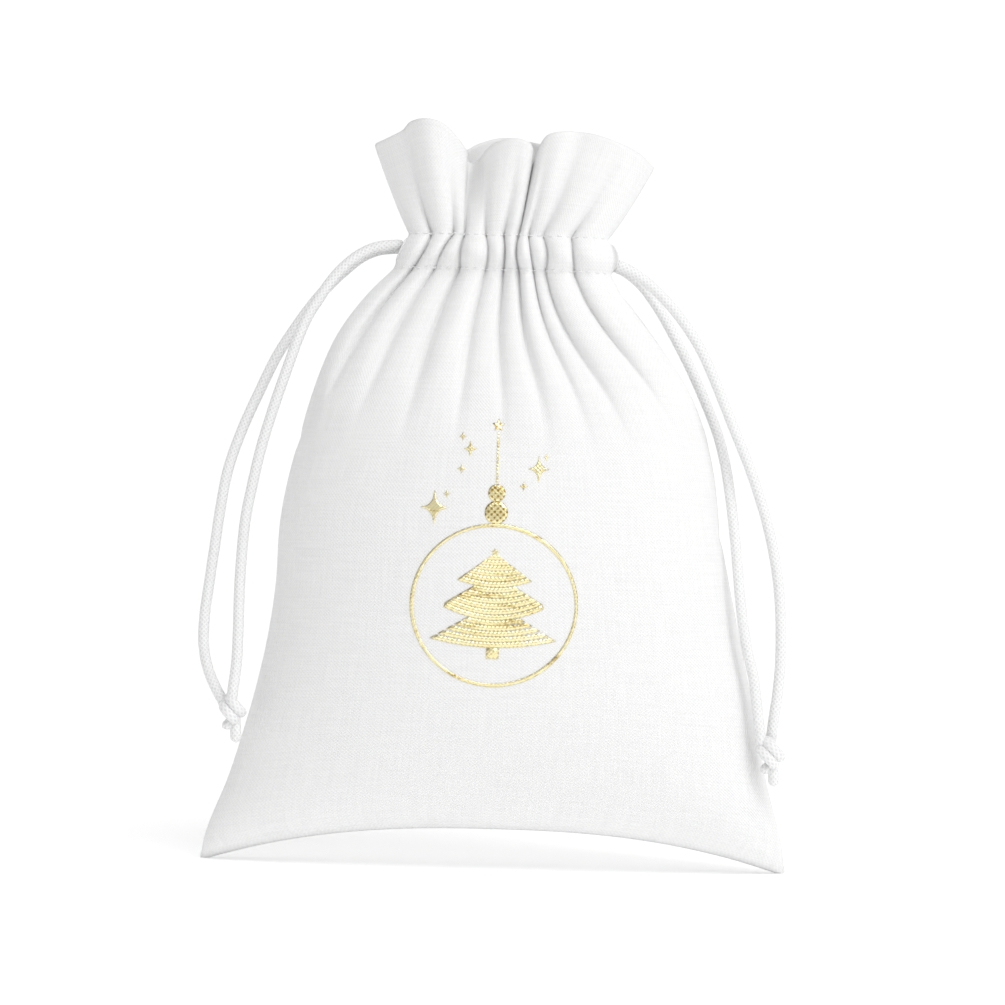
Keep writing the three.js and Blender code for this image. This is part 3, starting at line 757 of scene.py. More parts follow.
FRONT_GATHERS = Gathers(
    creases=(-29.2, -24.2, -18.7, -12.3, -5.9, -1.3, 2.6, 6.2, 9.3, 16.6, 26.2),
    high_creases=(-25.5, -19.7, -14.1, -11.4, -6.2, -1.5, 2.3, 4.6, 8.4, 15.6, 24.8),
    rim=(
        (0.0, -35.5, 0.0, 183.7), (0.05, -31.2, 4.6, 185.2), (0.09, -27.6, 7.6, 186.9),
        (0.115, -26.4, 10.6, 188.2), (0.145, -23.2, 14.8, 188.8), (0.18, -18.4, 15.2, 188.3),
        (0.215, -14.6, 12.6, 185.4), (0.25, -11.4, 9.0, 181.6), (0.29, -11.6, 4.5, 179.9),
        (0.32, -10.6, 2.2, 179.3), (0.36, -8.4, 5.0, 180.0), (0.40, -6.6, 9.8, 182.0),
        (0.45, -3.0, 13.6, 183.9), (0.50, 1.6, 14.9, 184.4), (0.54, 5.0, 13.4, 183.0),
        (0.575, 5.4, 9.4, 179.6), (0.60, 4.9, 7.6, 177.6), (0.63, 6.0, 10.4, 181.0),
        (0.665, 8.2, 14.6, 185.2), (0.705, 12.6, 15.6, 186.4), (0.745, 16.2, 13.4, 186.7),
        (0.79, 20.4, 13.2, 186.3), (0.85, 25.8, 12.2, 184.8), (0.93, 32.2, 7.4, 182.5),
        (1.0, 36.7, 0.0, 179.6),
    ),
)
BACK_GATHERS = Gathers(
    creases=(-29.2, -23.8, -17.6, -11.6, -6.6, -1.2, 3.9, 9.4, 14.6, 20.3, 26.2),
    high_creases=(-25.5, -20.6, -15.8, -11.0, -6.2, -1.2, 3.9, 9.0, 13.6, 18.6, 24.8),
    rim=(
        (0.0, -35.5, 0.0, 183.7), (0.06, -31.0, 6.0, 185.5), (0.13, -25.0, 12.0, 187.4),
        (0.20, -19.0, 14.6, 188.0), (0.27, -14.5, 11.0, 186.0), (0.32, -12.4, 7.0, 183.6),
        (0.38, -9.0, 10.0, 185.6), (0.45, -4.0, 14.6, 187.7), (0.52, 1.2, 15.6, 187.8),
        (0.58, 5.2, 12.6, 186.7), (0.64, 8.2, 9.4, 185.9), (0.70, 12.0, 12.6, 186.5),
        (0.77, 17.0, 15.6, 186.8), (0.84, 22.4, 14.0, 186.2), (0.90, 27.4, 10.4, 184.8),
        (0.96, 33.0, 5.0, 182.2), (1.0, 36.7, 0.0, 179.6),
    ),
)


COTTON_FACTS = {
    "quality": 8,
    "mass": 0.25,
    "tension_stiffness": 60.0,
    "compression_stiffness": 30.0,
    "shear_stiffness": 15.0,
    "bending_stiffness": 1.2,
    "tension_damping": 15.0,
    "compression_damping": 15.0,
    "shear_damping": 10.0,
    "bending_damping": 1.0,
    "air_damping": 2.0,
    "uniform_pressure_force": 3.0,
}


@dataclass
class PouchCloth:
    """The two cut sheets of cotton, filled, gathered and sewn together."""

    shape: PouchShape = field(default_factory=PouchShape)
    flat_width: float = 150.0
    flat_gap: float = 0.1
    body_length: float = 163.0
    casing_length: float = 9.0
    frill_length: float = 28.0
    casing_height: float = 8.9
    columns: int = 84
    body_rows: int = 84
    casing_rows: int = 8
    frill_rows: int = 14
    thickness: float = 0.45 * MM
    gather_start: float = 92.0
    gather_power: float = 1.3
    neck_halves: tuple[float, float] = (30.5, 27.5)
    neck_depth: float = 10.6
    swell: float = 1.4
    seam_share: float = 0.045
    slit_half: float = 8.3
    slit_power: float = 0.2
    lip: float = 2.0
    frill_ease: float = 0.85
    weave_shift: float = 0.155
    corner_share: float = 0.49
    sim_scale: float = 10.0
    frames: int = 26
    made: dict = field(default_factory=dict)

    @property
    def rows(self) -> int:
        """Rows of faces up one sheet."""
        return self.body_rows + self.casing_rows + self.frill_rows

    def up_the_cloth(self, share: np.ndarray) -> np.ndarray:
        """How far up the flat cloth each grid share lies, in millimetres."""
        marks = np.array([0, self.body_rows, self.body_rows + self.casing_rows, self.rows]) / self.rows
        lengths = np.cumsum([0.0, self.body_length, self.casing_length, self.frill_length])
        return np.interp(share, marks, lengths)

    def body_points(self, gathers: Gathers, across: np.ndarray, up: float) -> np.ndarray:
        """One row of the body, from its smooth belly to the gathered neck."""
        height = up / self.body_length * self.shape.neck_height
        x, y = self.shape.section(height, across)
        ring_x, ring_y = gathers.ring(across, 0.0)
        drawn = float(smoothstep(self.gather_start, self.shape.neck_height, height)) ** self.gather_power
        level = np.array([height])
        spread = np.where(
            ring_x < 0,
            self.shape.half_width(level, Hand.LEFT)[0] / self.neck_halves[0],
            self.shape.half_width(level, Hand.RIGHT)[0] / self.neck_halves[1],
        )
        depth = self.shape.half_depth(level)[0] / self.neck_depth
        x = (1 - drawn) * x + drawn * ring_x * spread
        y = (1 - drawn) * y + drawn * ring_y * depth**0.8
        z = np.full_like(x, height) + self.shape.lift(x, np.full_like(x, height))
        return np.stack([x, y, z], axis=1)

    def casing_points(self, gathers: Gathers, across: np.ndarray, share: float) -> np.ndarray:
        """One row of the casing, which swells over its cords and opens at its two ends."""
        middle = math.sin(math.pi * share)
        x, y = gathers.ring(across, self.swell * middle, share)
        seam = np.clip(1 - np.minimum(across, 1 - across) / self.seam_share, 0, 1)
        slit = self.slit_half * middle**self.slit_power if 0 < share < 1 else 0.0
        y = np.maximum(y, slit * seam**self.slit_power)
        x = x + self.lip * middle * seam * (across > 0.5)
        z = np.full_like(x, self.shape.neck_height + self.casing_height * share)
        return np.stack([x, y, z], axis=1)

    def frill_points(self, gathers: Gathers, across: np.ndarray, share: float) -> np.ndarray:
        """One row of the frill, from the casing's creases to its open rim."""
        x, y = gathers.ring(across, 0.0, 1.0)
        foot = np.stack([x, y, np.full_like(x, self.shape.neck_height + self.casing_height)], axis=1)
        rim = gathers.edge(across)
        ease = share**self.frill_ease
        row = (1 - ease) * foot + ease * rim
        row[:, 2] = (1 - share) * foot[:, 2] + share * rim[:, 2]
        return row

    def start_points(self, face: Face, shares: np.ndarray) -> np.ndarray:
        """The cloth as it is first laid out, in millimetres."""
        gathers = FRONT_GATHERS if face is Face.FRONT else BACK_GATHERS
        points = np.zeros((len(shares), 3))
        rows = np.rint(shares[:, 1] * self.rows).astype(int)
        for row in range(self.rows + 1):
            chosen = rows == row
            across = shares[chosen, 0]
            above = row - self.body_rows
            if above <= 0:
                up = self.up_the_cloth(np.array([row / self.rows]))[0]
                points[chosen] = self.body_points(gathers, across, up)
            elif above <= self.casing_rows:
                points[chosen] = self.casing_points(gathers, across, above / self.casing_rows)
            else:
                share = (above - self.casing_rows) / self.frill_rows
                points[chosen] = self.frill_points(gathers, across, share)
        points[:, 1] *= face.value
        return points

    def flat_points(self, face: Face, shares: np.ndarray) -> np.ndarray:
        """The cut sheet lying flat, in millimetres."""
        x = (shares[:, 0] - 0.5) * self.flat_width
        y = np.full_like(x, face.value * self.flat_gap / 2)
        return np.stack([x, y, self.up_the_cloth(shares[:, 1])], axis=1)

    def sewn(self, shares: np.ndarray) -> np.ndarray:
        """Which vertices of a sheet are sewn to the other: the bottom, and the sides but for the slits."""
        rows = np.rint(shares[:, 1] * self.rows).astype(int)
        side = np.abs(shares[:, 0] - 0.5) > 0.5 - 0.5 / self.columns
        slit = (rows > self.body_rows) & (rows < self.body_rows + self.casing_rows)
        return (side & ~slit) | (rows == 0)

    def row(self, made: np.ndarray, row: int) -> np.ndarray:
        """The points of one row of a finished sheet, from left to right."""
        bm, shares = grid(self.columns, self.rows)
        bm.free()
        chosen = np.nonzero(np.rint(shares[:, 1] * self.rows).astype(int) == row)[0]
        return made[chosen[np.argsort(shares[chosen, 0])]]

    def simulate(self) -> dict[Face, np.ndarray]:
        """Fills the sewn cloth with a cloth simulation, its casing and frill held.

        Returns:
            Each face's points, in millimetres.
        """
        bm, shares = grid(self.columns, self.rows)
        count = len(bm.verts)
        start = {face: self.start_points(face, shares) for face in Face}
        flat = {face: self.flat_points(face, shares) for face in Face}
        sewn = self.sewn(shares)
        second, _ = grid(self.columns, self.rows)
        merge(bm, second)
        bm.verts.index_update()
        layer = bm.verts.layers.int.new("spot")
        bm.verts.ensure_lookup_table()
        for index, vertex in enumerate(bm.verts):
            vertex[layer] = index
        pairs = {bm.verts[count + i]: bm.verts[i] for i in range(count) if sewn[i]}
        back_faces = [face for face in bm.faces if face.verts[0].index >= count]
        bmesh.ops.reverse_faces(bm, faces=back_faces)
        scale = MM * self.sim_scale
        flat_both = np.concatenate([flat[Face.FRONT], flat[Face.BACK]]) * scale
        place(bm, np.concatenate([start[Face.FRONT], start[Face.BACK]]) * scale)
        bmesh.ops.weld_verts(bm, targetmap=pairs)
        spots = np.array([vertex[layer] for vertex in bm.verts])
        sheet = link("cloth_at_work", mesh_from("cloth_at_work", bm))
        sheet.shape_key_add(name="Basis")
        rest = sheet.shape_key_add(name="flat")
        rest.data.foreach_set("co", flat_both[spots].ravel())
        rest.value = 0.0
        rows = np.rint(np.tile(shares[:, 1], 2)[spots] * self.rows).astype(int)
        out = np.abs(np.tile(shares[:, 0], 2)[spots] - 0.5)
        fixed = (rows >= self.body_rows) | (rows == 0) | ((rows == 1) & (out > self.corner_share))
        held = sheet.vertex_groups.new(name="held")
        held.add([int(i) for i in np.nonzero(fixed)[0]], 1.0, "REPLACE")
        self.settle(sheet)
        done = np.zeros((2 * count, 3))
        done[spots] = self.read(sheet) / scale
        for index in range(count):
            if sewn[index]:
                done[count + index] = done[index]
        bpy.data.objects.remove(sheet)
        return {Face.FRONT: done[:count], Face.BACK: done[count:]}

    def settle(self, sheet: bpy.types.Object) -> None:
        """Runs the cloth simulation on the sewn sheet."""
        cloth = sheet.modifiers.new("Cloth", "CLOTH")
        facts = cloth.settings
        for name, value in COTTON_FACTS.items():
            setattr(facts, name, value)
        facts.vertex_group_mass = "held"
        facts.rest_shape_key = sheet.data.shape_keys.key_blocks["flat"]
        facts.use_pressure = True
        facts.effector_weights.gravity = 0.0
        cloth.collision_settings.use_collision = False
        cloth.collision_settings.use_self_collision = False
        cloth.point_cache.frame_start = 1
        cloth.point_cache.frame_end = self.frames
        scene = bpy.context.scene
        for step in range(1, self.frames + 1):
            scene.frame_set(step)
        LOG.info("cloth settled in %d steps", self.frames)

    def read(self, sheet: bpy.types.Object) -> np.ndarray:
        """The sheet's points as the simulation left them."""
        shown = sheet.evaluated_get(bpy.context.evaluated_depsgraph_get())
        points = np.zeros(3 * len(shown.data.vertices), dtype=np.float32)
        shown.data.vertices.foreach_get("co", points)
        return points.reshape(-1, 3).astype(float)

    def build(self, cotton: bpy.types.Material) -> dict[Face, bpy.types.Object]:
        """Builds both faces of the pouch.

        Args:
            cotton: The cloth's material.

        Returns:
            The front and the back cloth.
        """
        self.made = made = self.simulate()
        pieces = {}
        for face in Face:
            bm, shares = grid(self.columns, self.rows)
            layer = bm.loops.layers.uv.verify()
            up = self.up_the_cloth(shares[:, 1])
            shift = 0.0 if face is Face.FRONT else self.weave_shift
            across = shares[:, 0] * self.flat_width
            for polygon in bm.faces:
                for loop in polygon.loops:
                    index = loop.vert.index
                    loop[layer].uv = (across[index] * MM / UV_SIZE + shift, up[index] * MM / UV_SIZE)
            place(bm, made[face] * MM)
            if face is Face.BACK:
                bmesh.ops.reverse_faces(bm, faces=bm.faces)
            side = face.name.lower()
            name = f"{side}_cloth"
            piece = link(name, mesh_from(name, bm))
            fine = piece.modifiers.new("Subdivision", "SUBSURF")
            fine.levels = fine.render_levels = 1
            wall = piece.modifiers.new("Solidify", "SOLIDIFY")
            wall.thickness = self.thickness
            wall.offset = -1.0
            nodes = [f"{side}_panel", f"{side}_casing", f"{side}_frill"]
            dress(piece, cotton, "root", nodes)
            pieces[face] = piece
            LOG.info("%s: %d faces", name, len(piece.data.polygons))
        return pieces


# ---------------------------------------------------------------- what is sewn and pressed on the cloth


class Surface:
    """The outside of a finished sheet, to lay small pieces on."""

    clear: float = 0.2
    fallback: float = 0.03

    def __init__(self, sheet: bpy.types.Object, face: Face) -> None:
        """Reads the sheet as its modifiers leave it."""
        graph = bpy.context.evaluated_depsgraph_get()
        self.tree = BVHTree.FromObject(sheet, graph)
        self.face = face

    def above(self, x: float, z: float) -> tuple[Vector, Vector]:
        """The point of the cloth behind a place on the front, and its outward direction."""
        outward = Vector((0, self.face.value, 0))
        spot, normal, _, _ = self.tree.ray_cast(Vector((x, 0, z)) + outward * self.clear, -outward)
        if spot is None:
            return Vector((x, 0, z)) + outward * self.fallback, outward
        return spot, normal if normal.dot(outward) > 0 else -normal

    def near(self, point: Sequence[float]) -> tuple[Vector, Vector]:
        """The nearest point of the cloth, and its outward direction."""
        spot, normal, _, _ = self.tree.find_nearest(Vector(point))
        return spot, normal


@dataclass
class Stitching:
    """Two rows of running stitches on each face, which close the casing above and below."""

    length: float = 1.7
    margin: float = 6.0
    pitch: float = 2.6
    radius: float = 0.17 * MM
    sides: int = 6
    step: float = 0.3 * MM
    sunk: float = 0.04
    reach: float = 0.6
    dips: Sequence[tuple[float, float]] = ((0.0, -0.35), (0.2, 0.12), (0.5, 0.2), (0.8, 0.12), (1.0, -0.35))

    def row(self, name: str, line: np.ndarray, surface: Surface, thread: bpy.types.Material) -> None:
        """Builds one row.

        Args:
            name: The CAD node that it replaces.
            line: The cloth's points along the row, in millimetres.
            surface: The cloth that it lies on.
            thread: The thread's material.
        """
        run = run_along(line)
        bm = bmesh.new()
        bm.loops.layers.uv.verify()
        starts = np.arange(self.margin, run[-1] - self.margin - self.length, self.pitch)
        for start in starts:
            points = []
            for share, rise in self.dips:
                at = start + share * self.length
                spot = [np.interp(at, run, line[:, axis]) for axis in range(3)]
                spot[1] += surface.face.value * self.reach
                on_cloth, normal = surface.near([MM * value for value in spot])
                points.append(tuple(on_cloth + normal * (rise - self.sunk) * MM))
            Tube(self.radius, sides=self.sides, step=self.step).add(bm, points)
        piece = link(f"{name}_thread", mesh_from(f"{name}_thread", bm))
        dress(piece, thread, "root", [name])
        LOG.info("%s: %d stitches", name, len(starts))

    def build(self, cloth: PouchCloth, surfaces: dict[Face, Surface], thread: bpy.types.Material) -> None:
        """Builds all four rows."""
        levels = {"lower": cloth.body_rows, "upper": cloth.body_rows + cloth.casing_rows}
        for face, surface in surfaces.items():
            for level, row in levels.items():
                line = cloth.row(cloth.made[face], row)
                self.row(f"{face.name.lower()}_{level}_stitching", line, surface, thread)


@dataclass
class Lining:
    """The casing's inner wall, and the cloth turned in along the seams."""

    throat: tuple[float, float] = (16.5, 3.0)
    throat_powers: tuple[float, float] = (0.7, 0.5)
    mouth: tuple[float, float] = (28.0, 10.0)
    edge_depth: float = 0.06
    facing_rows: int = 8
    allowance: float = 7.0
    turned_faces: int = 3
    inset: float = 1.2
    side_ends: tuple[int, int] = (8, 4)
    bottom_ends: int = 10
    wall: float = 0.4 * MM
    strip: float = 0.012

    def finish(
        self, name: str, bm: bmesh.types.BMesh, cotton: bpy.types.Material, nodes: Sequence[str]
    ) -> None:
        """Turns a bmesh into a cotton piece that rides on the pouch."""
        layer = bm.loops.layers.uv.verify()
        for polygon in bm.faces:
            for loop in polygon.loops:
                spot = loop.vert.co
                loop[layer].uv = ((spot.x + spot.y) / UV_SIZE, spot.z / UV_SIZE)
        bmesh.ops.recalc_face_normals(bm, faces=bm.faces)
        area = sum(polygon.calc_area() for polygon in bm.faces)
        piece = link(name, mesh_from(name, bm))
        wall = piece.modifiers.new("Solidify", "SOLIDIFY")
        wall.thickness = self.wall
        dress(piece, cotton, "root", nodes)

    def facing(self, cloth: PouchCloth, cotton: bpy.types.Material) -> None:
        """Builds the inner wall between the two rows of stitches."""
        rings = []
        for row in (cloth.body_rows, cloth.body_rows + cloth.casing_rows):
            front = cloth.row(cloth.made[Face.FRONT], row)
            back = cloth.row(cloth.made[Face.BACK], row)[::-1]
            rings.append(np.concatenate([front[:-1], back[:-1]]))
        around = len(rings[0])
        bm, shares = grid(around, self.facing_rows)
        columns = np.rint(shares[:, 0] * around).astype(int) % around
        points = []
        for column, share in zip(columns, shares[:, 1]):
            outer = (1 - share) * rings[0][column] + share * rings[1][column]
            angle = math.atan2(outer[1] / self.mouth[1], outer[0] / self.mouth[0])
            inner = []
            for turn, size, power in zip((math.cos(angle), math.sin(angle)), self.throat, self.throat_powers):
                inner.append(size * math.copysign(abs(turn) ** power, turn))
            at_edge = share < 0.5 / self.facing_rows or share > 1 - 0.5 / self.facing_rows
            depth = self.edge_depth if at_edge else 1.0
            x, y = outer[:2] * (1 - depth) + np.array(inner) * depth
            points.append(Vector((x, y, outer[2])) * MM)
        place(bm, points)
        bmesh.ops.remove_doubles(bm, verts=bm.verts, dist=WELD)
        self.finish("casing_facing", bm, cotton, ())

    def side(self, cloth: PouchCloth, hand: Hand, cotton: bpy.types.Material) -> None:
        """Builds the cloth turned in along one side seam."""
        first, last = self.side_ends[0], cloth.body_rows - self.side_ends[1]
        bm, shares = grid(self.turned_faces, last - first)
        column = 0 if hand is Hand.LEFT else -1
        front = cloth.made[Face.FRONT]
        edge = np.array([cloth.row(front, row)[column] for row in range(first, last + 1)])
        points = []
        for across, up in shares:
            spot = edge[int(round(up * (last - first)))]
            inward = self.inset + across * self.allowance
            points.append(Vector((spot[0] - hand.value * inward, spot[1], spot[2])) * MM)
        place(bm, points)
        self.finish(f"{hand.name.lower()}_turned_seam", bm, cotton, [f"{hand.name.lower()}_side_seam"])

    def bottom(self, cloth: PouchCloth, cotton: bpy.types.Material) -> None:
        """Builds the cloth turned in along the bottom seam."""
        edge = cloth.row(cloth.made[Face.FRONT], 0)[self.bottom_ends:-self.bottom_ends]
        columns = len(edge) - 1
        bm, shares = grid(columns, self.turned_faces)
        points = []
        for across, up in shares:
            x, y, z = edge[int(round(across * columns))]
            points.append(Vector((x, y, z + self.inset + up * self.allowance)) * MM)
        place(bm, points)
        self.finish("turned_bottom_seam", bm, cotton, ["bottom_seam"])

    def build(self, cloth: PouchCloth, cotton: bpy.types.Material) -> None:
        """Builds every turned-in piece."""
        self.facing(cloth, cotton)
        for hand in Hand:
            self.side(cloth, hand, cotton)
        self.bottom(cloth, cotton)


@dataclass
class FoilPrint:
    """The gold print: a hanging bauble with a banded fir tree in it, and sparkles."""

    middle: float = -1.5
    height: float = 66.4
    radius: float = 21.5
    stroke: float = 0.95
    stroke_waver: float = 0.1
    ring_steps: int = 180
    bead_sides: int = 24
    dot_sides: int = 10
    sparkle_sides: int = 32
    cap: Sequence[tuple[float, float]] = ((90.1, 2.95), (95.1, 2.2))
    chain: tuple[float, float, int] = (98.0, 110.5, 16)
    dot: float = 0.34
    star: tuple[float, float] = (112.5, 1.7)
    star_points: int = 5
    star_waist: float = 0.45
    tree_star: tuple[float, float] = (79.9, 1.25)
    tree_foot: float = 55.6
    tree_top: float = 79.4
    trunk: tuple[float, float] = (1.6, 2.7)
    band: float = 1.4
    band_steps: int = 22
    gap: float = 0.12
    sag: tuple[float, float, float] = (0.0076, 0.0115, 7.0)
    narrowest: float = 0.35
    width_rounds: int = 40
    tier_overlap: float = 0.2
    sparkle_width: float = 0.8
    sparkle_power: float = 0.56
    tiers: Sequence[tuple[float, float, float, float]] = (
        (55.6, 16.2, 57.6, 1.67), (62.6, 12.8, 66.7, 1.65), (70.0, 10.6, 72.0, 1.35),
    )
    sparkles: Sequence[tuple[float, float, float]] = (
        (-17.4, 91, 4.4), (-14.3, 94.6, 1.1), (-10.6, 109.5, 1.2), (-8.6, 106.3, 2.05),
        (-10.7, 101.1, 1.35), (9.1, 101.5, 3.4), (11.0, 104.6, 0.9), (5.3, 97, 1.3),
    )
    scale: float = 0.964
    scale_level: float = 92.7
    squash: float = 0.97
    lift: float = 0.07 * MM
    film: float = 0.08 * MM

    def press(self, node: str, bm: bmesh.types.BMesh, surface: Surface, foil: bpy.types.Material) -> None:
        """Presses a flat shape on the cloth.

        Args:
            node: The CAD node that it replaces.
            bm: The shape in millimetres, with x across and y up.
            surface: The cloth.
            foil: The foil's material.
        """
        bmesh.ops.remove_doubles(bm, verts=bm.verts, dist=1e-4)
        points = []
        for vertex in bm.verts:
            x = vertex.co.x * self.scale
            z = self.scale_level + (vertex.co.y - self.scale_level) * self.scale
            spot, normal = surface.above(x * MM, z * MM)
            points.append(spot + normal * self.lift)
        place(bm, points)
        bmesh.ops.recalc_face_normals(bm, faces=bm.faces)
        if sum(polygon.normal.y * polygon.calc_area() for polygon in bm.faces) > 0:
            bmesh.ops.reverse_faces(bm, faces=bm.faces)
        piece = link(f"{node}_print", mesh_from(f"{node}_print", bm))
        wall = piece.modifiers.new("Solidify", "SOLIDIFY")
        wall.thickness = self.film
        wall.offset = 1.0
        dress(piece, foil, "root", [node])

    def blob(
        self, bm: bmesh.types.BMesh, x: float, y: float, reach: Callable[[float], float], sides: int
    ) -> None:
        """Adds a shape seen whole from its middle, whose reach depends on the angle."""
        part = bmesh.new()
        bmesh.ops.create_circle(part, cap_ends=True, cap_tris=True, segments=sides, radius=1.0)
        for vertex in part.verts:
            if vertex.co.length > 0.5:
                vertex.co = vertex.co * reach(math.atan2(vertex.co.x, vertex.co.y))
        bmesh.ops.subdivide_edges(part, edges=part.edges[:], cuts=2, use_grid_fill=True)
        bmesh.ops.translate(part, verts=part.verts[:], vec=(x, y, 0.0))
        merge(bm, part)

    def starry(self, size: float) -> Callable[[float], float]:
        """A star's reach at an angle from its top point."""

        def reach(angle: float) -> float:
            """Full at each point and narrow at each waist."""
            turn = abs((angle * self.star_points / TURN) % 1.0 - 0.5) * 2.0
            return size * (self.star_waist + (1 - self.star_waist) * turn)

        return reach

    def twinkle(self, half: float) -> Callable[[float], float]:
        """A four-pointed sparkle's reach at an angle from its top point."""

        def reach(angle: float) -> float:
            """Full at each of the four points, with hollow sides between them."""
            across = abs(math.sin(angle)) / (self.sparkle_width * half)
            up = abs(math.cos(angle)) / half
            return 1.0 / (across**self.sparkle_power + up**self.sparkle_power) ** (1 / self.sparkle_power)

        return reach

    def band_width(self, tier: tuple[float, float, float, float], level: float, curve: float) -> float:
        """Half the width of the tree at one level of a tier."""
        _, tip, tip_height, slope = tier
        width = tip
        for _ in range(self.width_rounds):
            edge = level + curve * width**2
            width = 0.5 * width + 0.5 * max(tip - (edge - tip_height) * slope, self.narrowest)
        return min(width, tip)

    def tree(self, bm: bmesh.types.BMesh) -> None:
        """Adds the fir tree's bands, its trunk and its star."""
        sag, more_sag, sag_rise = self.sag
        count = int((self.tree_top - self.tree_foot) / self.band)
        for index in range(count):
            low = self.tree_foot + index * self.band
            tier = [entry for entry in self.tiers if low >= entry[0] - self.tier_overlap][-1]
            curve = sag + more_sag * float(smoothstep(self.tree_foot, self.tree_foot + sag_rise, low))
            high = low + self.band - self.gap
            widths = (self.band_width(tier, low, curve), self.band_width(tier, high, curve))
            part, shares = grid(self.band_steps, 1)
            spots = []
            for across, up in shares:
                half = widths[0] + (widths[1] - widths[0]) * up
                x = (2 * across - 1) * half
                spots.append((self.middle + x, low + (high - low) * up + curve * x * x, 0.0))
            place(part, spots)
            merge(bm, part)
        part, shares = grid(2, 3)
        half, drop = self.trunk
        trunk_top = self.tree_foot - self.gap
        place(part, [(self.middle + (2 * a - 1) * half, trunk_top - (1 - u) * drop, 0) for a, u in shares])
        merge(bm, part)
        level, size = self.tree_star
        self.blob(bm, self.middle, level, self.starry(size), 2 * self.star_points)

    def build(self, surface: Surface, foil: bpy.types.Material, beaded: bpy.types.Material) -> None:
        """Presses every piece of the print."""
        bm, shares = grid(self.ring_steps, 1)
        angle = shares[:, 0] * TURN
        stroke = self.stroke * (1 - self.stroke_waver + self.stroke_waver * np.sin(3 * angle))
        reach = self.radius - stroke * shares[:, 1]
        x = self.middle + reach * np.sin(angle)
        y = self.height + reach * self.squash * np.cos(angle)
        place(bm, np.stack([x, y, np.zeros_like(x)], axis=1))
        self.press("foil_bauble", bm, surface, foil)
        bm = bmesh.new()
        for level, size in self.cap:
            self.blob(bm, self.middle, level, lambda _, size=size: size, self.bead_sides)
        self.press("foil_cap", bm, surface, beaded)
        bm = bmesh.new()
        for level in np.linspace(*self.chain):
            self.blob(bm, self.middle, float(level), lambda _: self.dot, self.dot_sides)
        self.press("foil_chain", bm, surface, foil)
        bm = bmesh.new()
        self.blob(bm, self.middle, self.star[0], self.starry(self.star[1]), 2 * self.star_points)
        self.press("foil_star", bm, surface, beaded)
        bm = bmesh.new()
        self.tree(bm)
        self.press("foil_tree", bm, surface, foil)
        for number, (x, level, half) in enumerate(self.sparkles, start=1):
            bm = bmesh.new()
            self.blob(bm, x, level, self.twinkle(half), self.sparkle_sides)
            self.press(f"foil_sparkle_{number}", bm, surface, foil)


# ---------------------------------------------------------------- the studio


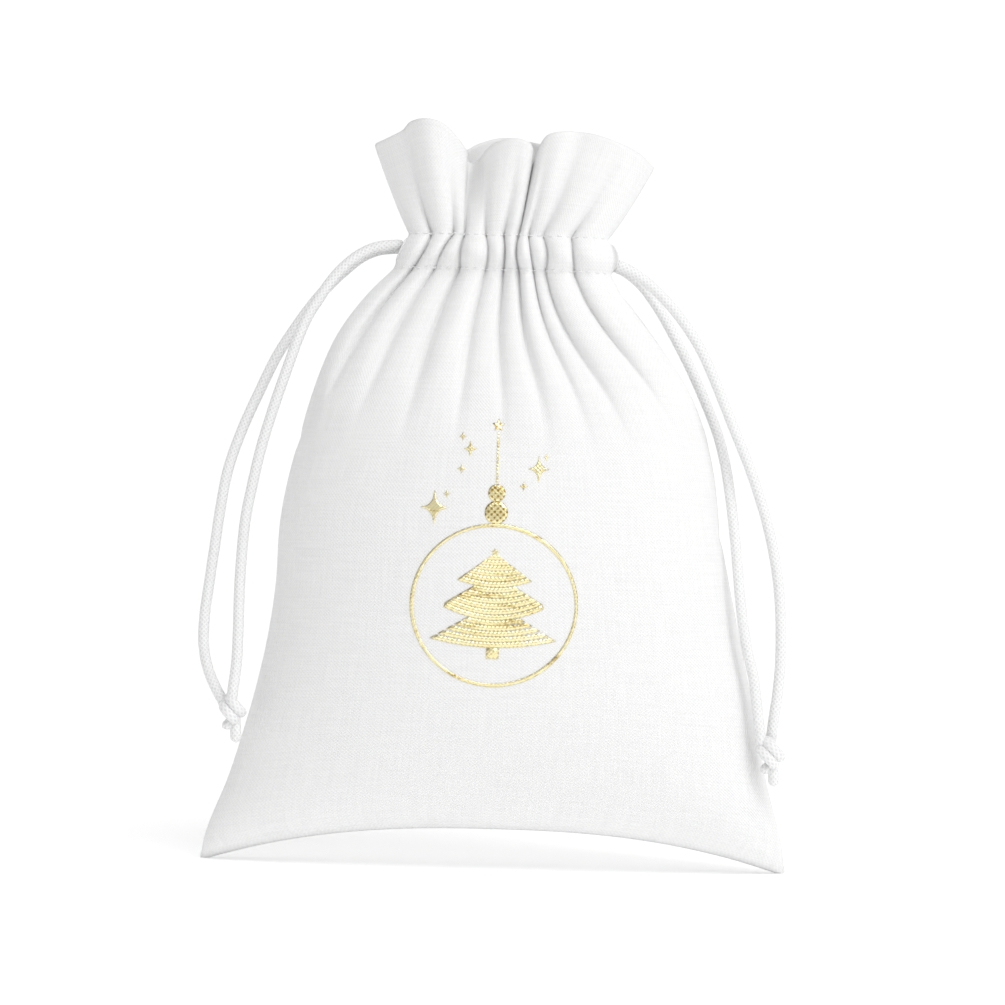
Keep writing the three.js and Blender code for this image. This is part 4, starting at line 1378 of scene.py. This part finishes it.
@dataclass
class Studio:
    """A pale sweep, soft lamps and the camera."""

    view_width: float = 0.2577
    aim: Point = (0.0, 0.0, 0.0927)
    lens: float = 110.0
    roll: float = 1.6
    floor_width: float = 6.0
    floor_front: float = 1.2
    floor_length: float = 1.6
    sweep_length: float = 3.2
    bend: float = 0.5
    drop: float = 0.0004
    glow: float = 0.22
    surround: float = 0.57
    key: tuple[Point, float] = ((1.0, -0.6, 0.5), 1.95)
    top: tuple[Point, float] = ((0.35, -0.6, 1.0), 5.5)
    lamp_size: float = 0.8

    def camera(self) -> None:
        """Sets the camera square to the front, rolled a little."""
        data = bpy.data.cameras.new("camera")
        data.lens = self.lens
        away = self.view_width * self.lens / data.sensor_width
        camera = bpy.data.objects.new("camera", data)
        camera.location = (self.aim[0], self.aim[1] - away, self.aim[2])
        camera.rotation_euler = (math.pi / 2, -math.radians(self.roll), 0.0)
        bpy.context.scene.collection.objects.link(camera)
        bpy.context.scene.camera = camera

    def sweep(self) -> None:
        """A white floor that curves up into a backdrop."""
        bm, shares = grid(1, 40)
        run = shares[:, 1] * self.sweep_length
        past = run - self.floor_length
        angle = np.clip(past / self.bend, 0, math.pi / 2)
        x = (shares[:, 0] - 0.5) * self.floor_width
        y = np.minimum(run, self.floor_length) - self.floor_front + self.bend * np.sin(angle)
        z = self.bend * (1 - np.cos(angle)) + np.maximum(past - self.bend * math.pi / 2, 0)
        place(bm, np.stack([x, y, z - self.drop], axis=1))
        floor = link("sweep", mesh_from("sweep", bm))
        nodes = Nodes("sweep_paper")
        nodes.shader.inputs["Base Color"].default_value = (0.95, 0.95, 0.95, 1.0)
        nodes.shader.inputs["Roughness"].default_value = 1.0
        nodes.shader.inputs["Specular IOR Level"].default_value = 0.0
        nodes.shader.inputs["Emission Color"].default_value = (1.0, 1.0, 1.0, 1.0)
        nodes.shader.inputs["Emission Strength"].default_value = self.glow
        floor.data.materials.append(nodes.material)

    def lamp(self, name: str, where: Point, power: float) -> None:
        """A soft square lamp that faces the pouch."""
        data = bpy.data.lights.new(name, "AREA")
        data.size = self.lamp_size
        data.energy = power
        lamp = bpy.data.objects.new(name, data)
        lamp.location = where
        lamp.rotation_euler = (Vector(self.aim) - Vector(where)).to_track_quat("-Z", "Y").to_euler()
        bpy.context.scene.collection.objects.link(lamp)

    def build(self) -> None:
        """Builds the sweep, the lamps and the even white surround."""
        self.sweep()
        self.lamp("key", *self.key)
        self.lamp("top", *self.top)
        world = bpy.data.worlds.new("surround")
        world.use_nodes = True
        background = world.node_tree.nodes["Background"]
        background.inputs["Color"].default_value = (1.0, 1.0, 1.0, 1.0)
        background.inputs["Strength"].default_value = self.surround
        bpy.context.scene.world = world
        bpy.context.scene.view_settings.view_transform = "Standard"


def main() -> None:
    """Builds the studio and every piece of the pouch, in order."""
    logging.basicConfig(level=logging.INFO, format="%(message)s")
    studio = Studio()
    studio.camera()
    finishes = Finishes()
    cords = (
        Cord(Hand.LEFT, LEFT_FRONT_ROUTE, LEFT_BACK_ROUTE, LEFT_KNOT),
        Cord(Hand.RIGHT, RIGHT_FRONT_ROUTE, RIGHT_BACK_ROUTE, RIGHT_KNOT, wrap_radius=2.5),
    )
    for cord in cords:
        cord.build(finishes.satin)
    cloth = PouchCloth()
    sheets = cloth.build(finishes.cotton)
    surfaces = {face: Surface(sheet, face) for face, sheet in sheets.items()}
    Stitching().build(cloth, surfaces, finishes.thread)
    Lining().build(cloth, finishes.cotton)
    FoilPrint().build(surfaces[Face.FRONT], finishes.foil, finishes.beaded)
    studio.build()
    for name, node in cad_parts.items():
        if "cord_run" in name or "lead" in name:
            node.data.materials.clear()
            node.data.materials.append(finishes.satin)


if __name__ == "__main__":
    main()
